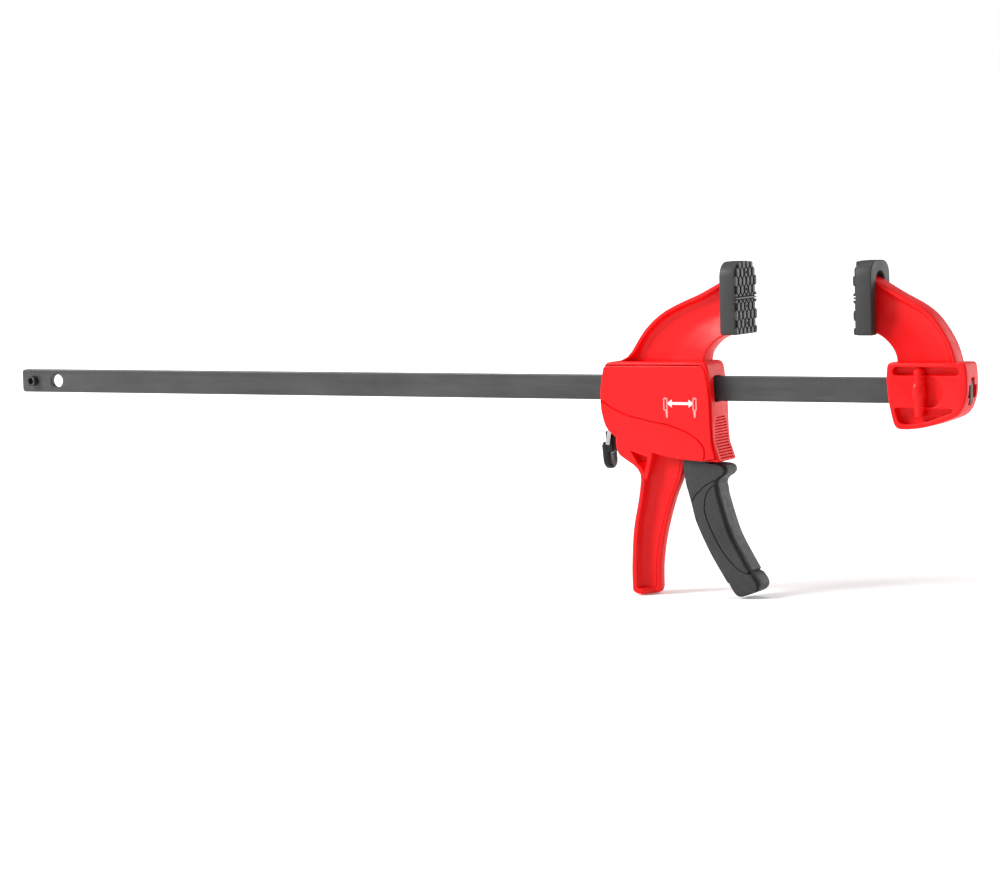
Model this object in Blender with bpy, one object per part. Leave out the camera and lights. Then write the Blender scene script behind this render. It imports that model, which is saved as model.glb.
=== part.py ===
"""A one-handed quick release bar clamp with a pistol grip, as separate pieces at their real size.

Metres, +Z up, +X along the bar from the moving jaw towards the fixed jaw, -Y towards the side that
the photograph shows. The origin is the middle of the fixed pad's gripping face, on its plain band.
Everything on the moving jaw hangs under one empty, whose place is the moving pad's gripping face.
"""

import math

import bmesh
import bpy
from mathutils import Matrix, Vector

# The clamp as a whole
PAD_GAP = 0.0716  # between the gripping faces, as photographed
JAW_REACH = 0.05235  # from the pads' plain band down to the middle of the bar
GAP = 0.0003  # between pieces that touch on the real clamp
OVERRUN = 0.004  # how far a cutter runs past what it cuts
ROUND_STEPS = 24  # sides of a round piece

# Bar
BAR_LENGTH = 0.647
BAR_HEIGHT = 0.0145
BAR_THICKNESS = 0.0042
BAR_PAST_FIXED_FACE = 0.0643  # from the fixed pad's face to the bar's front end
BAR_CORNER = 0.0020
BAR_EDGE = 0.0005
HANG_HOLE_RADIUS = 0.0042
HANG_HOLE_CHAMFER = 0.0009
HANG_HOLE_FROM_END = 0.0268
STOP_PIN_FROM_END = 0.0093

# Stop pin: a rolled spring pin with a slit
STOP_PIN_RADIUS = 0.0030
STOP_PIN_WALL = 0.0011
STOP_PIN_LENGTH = 0.0124
STOP_PIN_SLIT = 0.0009

# Pads
PAD_WIDTH = 0.0286
PAD_HEIGHT = 0.0419
PAD_THICKNESS = 0.0108
PAD_TOP_RADIUS = 0.0088
PAD_FOOT_RADIUS = 0.0022
PAD_EDGE = 0.0007
PAD_FRONT_WALL = 0.0031
CELL_DEPTH = 0.0010
CELL_COLUMN_PITCH = 0.0039
CELL_ROW_PITCH = 0.0092
CELL_GROOVE = 0.0011
PAD_BAND = 0.0018  # height of the plain band across the middle of the face
PAD_RIM = 0.0007  # plain edge left round the cells

# Jaw tips, which the pads are pulled over
TIP_WIDTH = 0.0220
TIP_HEIGHT = 0.0345
TIP_THICKNESS = 0.0030
TIP_CORNER = 0.0050

# Jaw arms, each an I-beam
ARM_WIDTH = 0.0132
ARM_WEB = 0.0042
ARM_THROAT_RIM = 0.0011
ARM_DISH_COLUMNS = 9
ARM_DISH_BOTTOM_SHARE = 0.5  # of the way from the back rim to the throat, where the hollow starts to run out
ARM_HOLLOW_END = 0.0012  # above the carrier's top, where the hollow turns straight down
ARM_RIM = 0.0031
ARM_EDGE = 0.0008
ARM_SINK = 0.0040  # how far an arm runs into the head or housing that carries it

# Fixed jaw's head
HEAD_START = 0.0170  # from the pad's face
HEAD_LENGTH = 0.0480
HEAD_HEIGHT = 0.0376
HEAD_TOP_BELOW_BAND = 0.0362
HEAD_WIDTH = 0.0188
HEAD_EDGE = 0.0012
HEAD_POCKET_FLOOR = 0.0046  # from the middle plane
SLOT_POCKET_HEIGHT = 0.0047
SLOT_POCKET_BELOW_TOP = 0.0024
SLOT_POCKET_MARGIN = 0.0042
ROUND_POCKET_RADIUS = 0.0107
ROUND_POCKET_FROM_START = 0.0240
RIB_RADIUS = 0.0035
RIB_BULGE_RADIUS = 0.0046
RIB_BULGE_HEIGHT = 0.0095
RIB_BULGE_TAPER = 0.0022
RIB_FROM_START = 0.0192
RIB_OFF_MIDDLE = 0.0048
RIB_TOP_BELOW_TOP = 0.0015
RIB_LENGTH = 0.0275
END_WINDOW_WIDTH = 0.0118
END_WINDOW_HEIGHT = 0.0074
END_WINDOW_DEPTH = 0.0030
JAW_PIN_RADIUS = 0.0022
JAW_PIN_BLIND = 0.0070  # how far past the middle plane its hole goes

# Moving jaw's housing
HOUSING_LENGTH = 0.0764
HOUSING_HEIGHT = 0.0574
HOUSING_FRONT_BEHIND_FACE = 0.0134
HOUSING_TOP_BELOW_BAND = 0.0364
HOUSING_WIDTH = 0.0240
HOUSING_WALL = 0.0029
HOUSING_EDGE = 0.0014
COVER_THICKNESS = 0.0023
COVER_TOP_INSET = 0.0027
COVER_FRONT_INSET = 0.0015
COVER_STEP = 0.0005
BAR_CLEARANCE = 0.00035
MOUTH_WIDTH = 0.0180
MOUTH_CLEARANCE = 0.0005
GRIP_RIB_PITCH = 0.00165
GRIP_RIB_COUNT = 14
GRIP_RIB_DEPTH = 0.0005
GRIP_RIB_WIDTH = 0.0150
GRIP_RIB_LOW = 0.0024  # lowest groove above the housing's foot

# Handle
HANDLE_HEIGHT = 0.0791
HANDLE_SPREAD = 0.0289
HANDLE_BACK_SHARE = 0.7670
HANDLE_WIDTH = 0.0220
HANDLE_RIM = 0.0036
HANDLE_WEB = 0.0070
HANDLE_EDGE = 0.0010

# Trigger
PIVOT_SHARE = 0.1963
PIVOT_BELOW_BAR = 0.01415
TRIGGER_LENGTH = 0.0786  # below the housing's foot
TRIGGER_WIDTH = 0.0160
TRIGGER_WALL = 0.0030
TRIGGER_NECK_FRONT = 0.00385  # the neck's front and back edges at the pivot, before and behind it
TRIGGER_NECK_BACK = 0.0036
TRIGGER_EDGE = 0.0010
TRIGGER_PIN_RADIUS = 0.0021
TRIGGER_BOSS_RADIUS = 0.0038
TRIGGER_NOSE_RADIUS = 0.0020
TRIGGER_NOSE_BELOW_PIVOT = 0.0120
TRIGGER_NOSE_BEHIND_PIVOT = 0.0028
TRIGGER_RELIEF = 0.0006

# Drive plates and their spring
DRIVE_PLATE_THICKNESS = 0.0024
DRIVE_PLATE_WIDTH = 0.0170
DRIVE_PLATE_TOP_ABOVE_BAR = 0.0028
DRIVE_PLATE_FOOT_BELOW_PIVOT = 0.0135
DRIVE_PLATE_TILT = math.radians(3.0)
DRIVE_PLATE_COUNT = 2
DRIVE_SPRING_RADIUS = 0.0086
DRIVE_SPRING_WIRE = 0.0012
DRIVE_SPRING_TURNS = 6

# Brake plate, its spring and the release lever
BRAKE_PLATE_SHARE = 0.9058
BRAKE_PLATE_THICKNESS = 0.0025
BRAKE_PLATE_WIDTH = 0.0120
BRAKE_PLATE_TILT = math.radians(10.0)
BRAKE_PLATE_TOP_ABOVE_BAR = 0.0030
BRAKE_PLATE_FOOT_BELOW_BAR = 0.0390  # below the middle of the bar, along the plate
FULCRUM_BELOW_BAR = 0.0122
FULCRUM_RADIUS = 0.0015
BRAKE_SPRING_RADIUS = 0.0026
BRAKE_SPRING_WIRE = 0.0007
BRAKE_SPRING_TURNS = 5
BRAKE_SPRING_BELOW_BAR = 0.0202
LEVER_WIDTH = 0.0112
LEVER_HEAD_THICKNESS = 0.0064
LEVER_HEAD_LENGTH = 0.0056
LEVER_TAB_THICKNESS = 0.0040
LEVER_LENGTH = 0.0142
LEVER_TONGUE_WIDTH = 0.0070
LEVER_TONGUE_LENGTH = 0.0050
LEVER_EDGE = 0.0008

# Hollows inside the frame: shares of the housing's length behind its front, heights from the bar's middle
GUIDE_FRONT_SHARE = 0.5628
GUIDE_BACK_SHARE = 0.8089
CHAMBER_TOP_ABOVE_BAR = 0.0105
CHAMBER_FRONT_SHARE = 0.1414
CHAMBER_KNEE_BELOW_BAR = 0.0112
TRIGGER_WELL_BACK_SHARE = 0.5183
BOSS_STEP_SHARE = 0.2304
BOSS_STEP_ABOVE_BAR = 0.0078
BRAKE_CHAMBER_FOOT_BELOW_BAR = 0.0247
BRAKE_SEAT_SHARE = 0.8154
LEVER_WINDOW_WIDTH = 0.0136
LEVER_WINDOW_FRONT_SHARE = 0.8717
LEVER_WINDOW_TOP_BELOW_BAR = 0.0110
LEVER_WINDOW_FOOT_BELOW_BAR = 0.0317

# Cover screws, driven from the rear side into sockets on the front cover
SCREW_RADIUS = 0.0011
SCREW_HEAD_RADIUS = 0.0022
SCREW_HEAD_HEIGHT = 0.0014
SCREW_HEAD_SINK = 0.0012
SCREW_CROSS_LENGTH = 0.0027
SCREW_CROSS_WIDTH = 0.0006
SCREW_CROSS_DEPTH = 0.0007
SOCKET_RADIUS = 0.0022
SOCKET_LENGTH = 0.0042
SCREW_BITE = 0.0030
PIN_SEAT_DEPTH = 0.0013  # how deep the trigger pin sits in each cover

# Outlines, as shares of their box. The arms: distance from the pad's face, height above the head.
FIXED_ARM_BACK_SHARES = (
    (0.0158, 0.858), (0.1348, 0.787), (0.3176, 0.675), (0.5176, 0.559), (0.642, 0.448),
    (0.7426, 0.301), (0.8172, 0.143), (0.854, 0.0),
)
FIXED_ARM_THROAT_SHARES = (
    (0.2916, 0.0), (0.2483, 0.143), (0.1802, 0.222), (0.1012, 0.274), (0.0158, 0.3),
)
MOVING_ARM_BACK_SHARES = (
    (0.011, 0.866), (0.1284, 0.777), (0.2607, 0.677), (0.4013, 0.592), (0.5441, 0.487),
    (0.6689, 0.333), (0.7536, 0.161), (0.8075, 0.049), (0.8731, 0.0),
)
MOVING_ARM_THROAT_SHARES = (
    (0.2321, 0.0), (0.2215, 0.08), (0.1919, 0.143), (0.1411, 0.211), (0.0713, 0.262),
    (0.011, 0.29),
)
HEAD_TOP_SHARES = ((0.954, 1.0), (0.046, 1.0))
HEAD_FRONT_SHARES = ((0.0125, 0.950), (0.0, 0.726), (0.021, 0.420), (0.069, 0.144), (0.117, 0.027))
HEAD_FOOT_SHARES = ((0.160, 0.004), (0.252, 0.0), (0.552, 0.064), (0.775, 0.157), (0.892, 0.234))
HEAD_END_SHARES = ((0.930, 0.290), (0.975, 0.420), (1.0, 0.665), (0.985, 0.912))
LOW_POCKET_SHARES = (
    (0.085, 0.330), (0.820, 0.310), (0.780, 0.235), (0.552, 0.140), (0.280, 0.082), (0.150, 0.095),
)
HOUSING_TOP_SHARES = ((0.885, 1.0), (0.077, 0.996))
HOUSING_BACK_SHARES = (
    (0.040, 0.965), (0.025, 0.901), (0.0, 0.655), (0.008, 0.491), (0.039, 0.340), (0.077, 0.279),
)
HOUSING_FOOT_SHARES = (
    (0.148, 0.209), (0.283, 0.131), (0.425, 0.078), (0.551, 0.037), (0.702, 0.010), (0.885, 0.0),
)
HOUSING_FRONT_SHARES = (
    (1.0, 0.003), (0.990, 0.026), (0.949, 0.188), (0.941, 0.399), (0.936, 0.650), (0.914, 0.880),
    (0.910, 0.965),
)
COVER_STEP_SHARES = (
    (-0.050, 0.640), (0.018, 0.594), (0.086, 0.535), (0.263, 0.441), (0.431, 0.392), (0.598, 0.354),
    (0.732, 0.284), (0.822, 0.214), (0.870, 0.136), (0.877, -0.060),
)
HANDLE_TAIL_SHARES = ((-0.249, 1.175), (-0.249, 1.060))
HANDLE_BACK_SHARES = (
    (-0.249, 1.039), (-0.156, 1.009), (-0.003, 0.984), (0.125, 0.954), (0.215, 0.920), (0.256, 0.858),
    (0.218, 0.785), (0.176, 0.695), (0.059, 0.487), (0.014, 0.292), (0.0, 0.054),
)
HANDLE_RIM_FRONT_SHARES = (
    (0.588, 1.110), (0.505, 0.972), (0.401, 0.843), (0.253, 0.678), (0.194, 0.511), (0.145, 0.264),
    (0.138, 0.020),
)
HANDLE_WEB_FRONT_SHARES = (
    (1.100, 1.060), (1.090, 0.960), (1.073, 0.909), (1.0, 0.833), (0.882, 0.766), (0.720, 0.631),
    (0.571, 0.430),
    (0.491, 0.243), (0.481, 0.049),
)
HANDLE_FOOT_SHARES = ((0.107, 0.004), (0.332, 0.0), (0.430, 0.014))
GUSSET_SHARES = ((0.121, 1.076), (0.415, 1.040), (0.346, 0.919))
TRIGGER_BACK_SHARES = (
    (-0.097, 0.071), (-0.140, -0.005), (-0.120, -0.176), (-0.065, -0.300), (-0.020, -0.466),
    (0.080, -0.674), (0.182, -0.843), (0.252, -0.964),
)
TRIGGER_FOOT_SHARES = (
    (0.306, -1.000), (0.355, -0.996), (0.445, -0.939), (0.468, -0.893), (0.432, -0.838),
)
TRIGGER_FRONT_SHARES = (
    (0.402, -0.810), (0.325, -0.690), (0.241, -0.543), (0.192, -0.390), (0.147, -0.231),
    (0.138, -0.168), (0.152, -0.127),
)
TRIGGER_NUB_SHARES = (
    (0.202, -0.084), (0.218, -0.053), (0.194, -0.024), (0.059, -0.019),
)
TRIGGER_NECK_SHARES = ((0.049, -0.010),)
TRIGGER_THROAT_SHARES = ((-0.040, 0.165), (-0.045, 0.092))
TRIGGER_SLOT_SHARES = (
    (0.005, -0.005), (0.035, -0.060), (0.050, -0.120), (0.085, -0.195), (0.105, -0.253), (0.148, -0.408),
    (0.197, -0.556), (0.281, -0.707), (0.337, -0.812), (0.290, -0.907), (-0.405, -0.907),
)
TRIGGER_PANEL_SHARES = (
    (0.105, -0.177), (0.074, -0.206), (0.040, -0.297), (0.035, -0.371), (0.077, -0.485),
    (0.154, -0.633), (0.240, -0.742), (0.318, -0.806), (0.353, -0.815), (0.303, -0.725),
    (0.216, -0.570), (0.165, -0.421), (0.119, -0.246),
)

# Cover screws: shares of the housing's length behind its front, and of its height above the bar's middle
SCREW_SHARES = ((0.6780, 0.1725), (0.6780, -0.2439), (0.1859, 0.1847), (0.0864, -0.6376))

BAR_MIDDLE = -JAW_REACH
HALF_HOUSING = HOUSING_WIDTH / 2
COVER_INNER = HALF_HOUSING - COVER_THICKNESS
HEAD_LOW = -HEAD_TOP_BELOW_BAND - HEAD_HEIGHT
HOUSING_BACK = -HOUSING_FRONT_BEHIND_FACE - HOUSING_LENGTH
HOUSING_LOW = -HOUSING_TOP_BELOW_BAND - HOUSING_HEIGHT


for old in list(bpy.data.objects):
    bpy.data.objects.remove(old, do_unlink=True)


def within(share):
    """A place along the housing, from the moving pad's face, for a share of its length behind its front."""
    return -HOUSING_FRONT_BEHIND_FACE - share * HOUSING_LENGTH


PIVOT = (within(PIVOT_SHARE), BAR_MIDDLE - PIVOT_BELOW_BAR)


def placed(shares, left, low, length, height):
    """Points of a side view, from shares of a box's length and height."""
    return [(left + s * length, low + t * height) for s, t in shares]


def smooth(points, steps=3):
    """A curve through the points, with `steps` pieces to each stretch."""
    ends = [points[0], *points, points[-1]]
    curve = []
    for i in range(len(points) - 1):
        p0, p1, p2, p3 = (Vector(p) for p in ends[i:i + 4])
        for k in range(steps):
            t = k / steps
            bend = (2 * p0 - 5 * p1 + 4 * p2 - p3) * t**2 + (3 * p1 - p0 - 3 * p2 + p3) * t**3
            curve.append(tuple((2 * p1 + (p2 - p0) * t + bend) / 2))
    return curve + [tuple(points[-1])]


def beside(points, width):
    """An open curve carried sideways, to its left, by a width."""
    carried = []
    for i, point in enumerate(points):
        ahead = Vector(points[min(i + 1, len(points) - 1)]) - Vector(points[max(i - 1, 0)])
        carried.append(tuple(Vector(point) + Vector((-ahead.y, ahead.x)).normalized() * width))
    return carried


def evened(points, count):
    """The same open curve, through so many points at even spacing."""
    lengths = [(Vector(b) - Vector(a)).length for a, b in zip(points, points[1:])]
    found = []
    for k in range(count):
        left = sum(lengths) * k / (count - 1)
        i = 0
        while i < len(lengths) - 1 and left > lengths[i]:
            left -= lengths[i]
            i += 1
        found.append(tuple(Vector(points[i]).lerp(Vector(points[i + 1]), left / lengths[i])))
    return found


def arc(centre, radius, start, end, steps):
    """Points of an arc, from one angle to another, in degrees."""
    turns = [math.radians(start + (end - start) * k / steps) for k in range(steps + 1)]
    return [(centre[0] + radius * math.cos(a), centre[1] + radius * math.sin(a)) for a in turns]


def rounded_box(left, low, length, height, low_radius, top_radius=None, steps=3):
    """An upright box's outline with round corners, anticlockwise."""
    top_radius = low_radius if top_radius is None else top_radius
    right, top = left + length, low + height
    outline = arc((left + low_radius, low + low_radius), low_radius, 180, 270, steps)
    outline += arc((right - low_radius, low + low_radius), low_radius, 270, 360, steps)
    outline += arc((right - top_radius, top - top_radius), top_radius, 0, 90, steps)
    return outline + arc((left + top_radius, top - top_radius), top_radius, 90, 180, steps)


def home_at(name, x, z, parent=None):
    """An empty that carries pieces. Its place is in the frame of its parent."""
    empty = bpy.data.objects.new(name, None)
    bpy.context.scene.collection.objects.link(empty)
    empty.location = (x, 0.0, z)
    empty.parent = parent
    return empty


def solid(name, shape, edge=0.0, home=None):
    """An object from a closed bmesh, with its sharp edges rounded."""
    bmesh.ops.recalc_face_normals(shape, faces=shape.faces)
    mesh = bpy.data.meshes.new(name)
    shape.to_mesh(mesh)
    shape.free()
    piece = bpy.data.objects.new(name, mesh)
    bpy.context.scene.collection.objects.link(piece)
    piece.parent = home
    if edge:
        rounding = piece.modifiers.new("edges", "BEVEL")
        rounding.width = edge
        rounding.segments = 2
        rounding.limit_method = "ANGLE"
        rounding.angle_limit = math.radians(40)
        rounding.use_clamp_overlap = False
    return piece


def prism(name, outline, start, end, edge=0.0, home=None, along="Y"):
    """An outline carried from start to end. It holds (x, z) points, or (y, z) along X, (x, y) along Z."""
    order = {"Y": (0, 2, 1), "X": (2, 0, 1), "Z": (0, 1, 2)}[along]
    shape = bmesh.new()
    rings = []
    for reach in (start, end):
        points = [(u, v, reach) for u, v in outline]
        rings.append([shape.verts.new([p[k] for k in order]) for p in points])
    shape.faces.new(rings[0])
    shape.faces.new(rings[1][::-1])
    for i in range(len(outline)):
        shape.faces.new((rings[0][i - 1], rings[0][i], rings[1][i], rings[1][i - 1]))
    return solid(name, shape, edge, home)


def turned(name, profile, place, axis="Y", home=None, steps=ROUND_STEPS):
    """A solid of revolution from (radius, distance along the axis) pairs."""
    shape = bmesh.new()
    rings = []
    for radius, reach in profile:
        ring = []
        for k in range(steps):
            angle = 2 * math.pi * k / steps
            flat = (radius * math.cos(angle), radius * math.sin(angle))
            ring.append(shape.verts.new((flat[0], reach, flat[1]) if axis == "Y" else (*flat, reach)))
        rings.append(ring)
    shape.faces.new(rings[0])
    shape.faces.new(rings[-1][::-1])
    for low, high in zip(rings, rings[1:]):
        for i in range(steps):
            shape.faces.new((low[i - 1], low[i], high[i], high[i - 1]))
    piece = solid(name, shape, home=home)
    piece.location = place
    return piece


def rod(name, centre, radius, start, end, home=None, steps=ROUND_STEPS):
    """A round bar along Y, through a point of the side view."""
    place = (centre[0], 0.0, centre[1])
    return turned(name, ((radius, start), (radius, end)), place, home=home, steps=steps)


def box(name, low, high, home=None, edge=0.0):
    """A box between two corners."""
    outline = [(low[0], low[2]), (high[0], low[2]), (high[0], high[2]), (low[0], high[2])]
    return prism(name, outline, low[1], high[1], edge, home)


def combine(piece, other, operation):
    """One step of a solid's making. The other object is only a tool from here on."""
    step = piece.modifiers.new(other.name, "BOOLEAN")
    step.operation = operation
    step.object = other
    other.hide_render = True
    other.display_type = "WIRE"


def cut(piece, *others):
    for other in others:
        combine(piece, other, "DIFFERENCE")


def join(piece, *others):
    for other in others:
        combine(piece, other, "UNION")


def keep(piece, other):
    combine(piece, other, "INTERSECT")


def material(name, colour, roughness, metallic=0.0):
    made = bpy.data.materials.new(name)
    made.use_nodes = True
    shader = made.node_tree.nodes["Principled BSDF"]
    shader.inputs["Base Color"].default_value = (*colour, 1.0)
    shader.inputs["Roughness"].default_value = roughness
    shader.inputs["Metallic"].default_value = metallic
    return made


def finish(piece, look):
    """The piece's own material, and smooth shading between its sharp edges."""
    piece.data.materials.append(look)
    if piece.type == "MESH":
        piece.data.shade_smooth()
        piece.data.set_sharp_from_angle(angle=math.radians(35))


def coil(name, radius, wire, turns, start, end, place, home=None):
    """A round-wire spring along X, as one unbroken tube."""
    points_a_turn = 10
    count = turns * points_a_turn
    pitch = (end - start) / turns
    print(f"{name}: least gap between turns {1000 * (abs(pitch) - wire):.2f} mm")
    curve = bpy.data.curves.new(name, "CURVE")
    curve.dimensions = "3D"
    curve.bevel_depth = wire / 2
    curve.bevel_resolution = 1
    curve.use_fill_caps = True
    spline = curve.splines.new("POLY")
    spline.points.add(count)
    for k in range(count + 1):
        angle = 2 * math.pi * k / points_a_turn
        along = start + (end - start) * k / count
        spline.points[k].co = (along, radius * math.cos(angle), radius * math.sin(angle), 1.0)
    piece = bpy.data.objects.new(name, curve)
    bpy.context.scene.collection.objects.link(piece)
    piece.location = place
    piece.parent = home
    return piece


def make_bar(look):
    back = BAR_PAST_FIXED_FACE - BAR_LENGTH
    half = BAR_THICKNESS / 2
    outline = rounded_box(back, BAR_MIDDLE - BAR_HEIGHT / 2, BAR_LENGTH, BAR_HEIGHT, BAR_CORNER)
    bar = prism("bar", outline, -half, half, BAR_EDGE)
    hang = (back + HANG_HOLE_FROM_END, BAR_MIDDLE)
    wide = HANG_HOLE_RADIUS + HANG_HOLE_CHAMFER
    flare = (
        (wide + OVERRUN, -half - OVERRUN), (HANG_HOLE_RADIUS, -half + HANG_HOLE_CHAMFER),
        (HANG_HOLE_RADIUS, half - HANG_HOLE_CHAMFER), (wide + OVERRUN, half + OVERRUN),
    )
    cut(
        bar,
        turned("hang_hole_cut", flare, (hang[0], 0.0, hang[1])),
        rod("stop_pin_hole_cut", stop_pin_centre(), STOP_PIN_RADIUS + GAP, -half - OVERRUN, half + OVERRUN),
        rod("jaw_pin_hole_cut", jaw_pin_centre(), JAW_PIN_RADIUS + GAP, -half - OVERRUN, half + OVERRUN),
    )
    finish(bar, look)


def stop_pin_centre():
    return (BAR_PAST_FIXED_FACE - BAR_LENGTH + STOP_PIN_FROM_END, BAR_MIDDLE)


def jaw_pin_centre():
    return (HEAD_START + RIB_FROM_START, BAR_MIDDLE)


def make_stop_pin(look):
    """A rolled pin: a ring with a slit that faces down."""
    half_slit = math.degrees(STOP_PIN_SLIT / 2 / STOP_PIN_RADIUS)
    outer = arc(stop_pin_centre(), STOP_PIN_RADIUS, -90 + half_slit, 270 - half_slit, ROUND_STEPS)
    bore = STOP_PIN_RADIUS - STOP_PIN_WALL
    inner = arc(stop_pin_centre(), bore, 270 - half_slit, -90 + half_slit, ROUND_STEPS)
    finish(prism("stop_pin", outer + inner, -STOP_PIN_LENGTH / 2, STOP_PIN_LENGTH / 2), look)


def pad_outline(margin=0.0):
    return rounded_box(
        margin - PAD_WIDTH / 2, margin - PAD_HEIGHT / 2, PAD_WIDTH - 2 * margin, PAD_HEIGHT - 2 * margin,
        PAD_FOOT_RADIUS, PAD_TOP_RADIUS - margin, steps=5,
    )


def pad_cells(name, way, home):
    """Long six-sided lands in staggered columns, each a little prism on the pad's face."""
    half_width = (CELL_COLUMN_PITCH * 4 / 3 - CELL_GROOVE) / 2
    half_height = (CELL_ROW_PITCH - CELL_GROOVE) / 2
    shoulder = half_height / 2
    columns = int(PAD_WIDTH / 2 / CELL_COLUMN_PITCH) + 1
    rows = int(PAD_HEIGHT / 2 / CELL_ROW_PITCH) + 1
    shape = bmesh.new()
    for column in range(-columns, columns + 1):
        lift = CELL_ROW_PITCH / 2 * (column % 2)
        for row in range(-rows, rows + 1):
            y, z = column * CELL_COLUMN_PITCH, row * CELL_ROW_PITCH + lift
            corners = (
                (y - half_width / 2, z + half_height), (y - half_width, z),
                (y - half_width / 2, z - half_height), (y + half_width / 2, z - half_height),
                (y + half_width, z), (y + half_width / 2, z + half_height),
            )
            front = [shape.verts.new((0.0, u, v)) for u, v in corners]
            back = [shape.verts.new((way * (CELL_DEPTH + shoulder), u, v)) for u, v in corners]
            shape.faces.new(front)
            shape.faces.new(back[::-1])
            for i in range(len(corners)):
                shape.faces.new((front[i - 1], front[i], back[i], back[i - 1]))
    cells = solid(name + "_cells", shape, home=home)
    keep(cells, prism(name + "_face", pad_outline(PAD_RIM), -OVERRUN, OVERRUN, home=home, along="X"))
    gap = PAD_BAND / 2 + CELL_GROOVE / 2
    cut(cells, box(name + "_band_gap", (-OVERRUN, -PAD_WIDTH, -gap), (OVERRUN, PAD_WIDTH, gap), home))
    return cells


def tip_outline(margin=0.0):
    return rounded_box(
        -TIP_WIDTH / 2 - margin, -TIP_HEIGHT / 2 - margin, TIP_WIDTH + 2 * margin, TIP_HEIGHT + 2 * margin,
        TIP_CORNER,
    )


def make_pad(name, way, look, home=None):
    """A rubber cap: way is 1 where it lies on the +X side of its gripping face, and -1 on the other."""
    pad = prism(name, pad_outline(), way * CELL_DEPTH, way * PAD_THICKNESS, PAD_EDGE, home, "X")
    band = box(
        name + "_band", (min(0.0, way * 2 * CELL_DEPTH), PAD_RIM - PAD_WIDTH / 2, -PAD_BAND / 2),
        (max(0.0, way * 2 * CELL_DEPTH), PAD_WIDTH / 2 - PAD_RIM, PAD_BAND / 2), home,
    )
    join(pad, pad_cells(name, way, home), band)
    behind_tip = PAD_FRONT_WALL + TIP_THICKNESS + 2 * GAP
    neck_start = PAD_FRONT_WALL + TIP_THICKNESS / 2 + GAP
    half_neck = ARM_WIDTH / 2 + GAP
    neck_top = PAD_HEIGHT / 2 - PAD_TOP_RADIUS + half_neck / 3
    neck = [(-half_neck, -PAD_HEIGHT), (half_neck, -PAD_HEIGHT)]
    neck += arc((0.0, neck_top - half_neck / 2), half_neck, 0, 180, 8)
    cut(
        pad,
        prism(
            name + "_tip_space", tip_outline(GAP), way * PAD_FRONT_WALL, way * behind_tip,
            home=home, along="X",
        ),
        prism(name + "_neck", neck, way * neck_start, way * (PAD_THICKNESS + OVERRUN), home=home, along="X"),
    )
    finish(pad, look)


def dish(name, back, throat, side, home):
    """The cutter of an arm's hollow: deep along the back rim, and running out towards the throat."""
    half, web = ARM_WIDTH / 2, ARM_WEB / 2
    shape = bmesh.new()
    loops = []
    for b, t in zip(back, throat):
        mid = tuple(Vector(b).lerp(Vector(t), ARM_DISH_BOTTOM_SHARE))
        section = ((b, web), (mid, web), (t, half + GAP / 2), (t, half + OVERRUN), (b, half + OVERRUN))
        loops.append([shape.verts.new((x, side * y, z)) for (x, z), y in section])
    shape.faces.new(loops[0])
    shape.faces.new(loops[-1][::-1])
    for first, second in zip(loops, loops[1:]):
        for i in range(len(first)):
            shape.faces.new((first[i - 1], first[i], second[i], second[i - 1]))
    return solid(name, shape, home=home)


def make_arm(name, back_shares, throat_shares, way, length, top_below_band, home=None):
    """A curved I-beam, from the plate at its tip that a pad is pulled over to the top of its carrier."""
    start = PAD_FRONT_WALL + GAP
    root = start + TIP_THICKNESS / 2
    low, height = -top_below_band, top_below_band + PAD_HEIGHT / 2
    back = smooth(placed(back_shares, way * root, low, way * (length - root), height))
    throat = smooth(placed(throat_shares, way * root, low, way * (length - root), height))
    foot = low - ARM_SINK
    outline = [*back, (back[-1][0], foot), (throat[0][0], foot), *throat]
    arm = prism(name, outline, -ARM_WIDTH / 2, ARM_WIDTH / 2, ARM_EDGE, home)
    least = PAD_FRONT_WALL + TIP_THICKNESS + ARM_RIM
    sides = []
    for curve, rim in ((back, ARM_RIM), (throat[::-1], -ARM_THROAT_RIM)):
        inner = [p for p in beside(curve, -way * rim) if way * p[0] > least and p[1] > low + ARM_HOLLOW_END]
        sides.append(evened(inner, ARM_DISH_COLUMNS) + [(inner[-1][0], foot)])
    for side in (-1, 1):
        cut(arm, dish(f"{name}_hollow_{side}", *sides, side, home))
    behind = start + TIP_THICKNESS
    tip = prism(name + "_tip", tip_outline(), way * start, way * behind, home=home, along="X")
    return arm, tip


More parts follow.
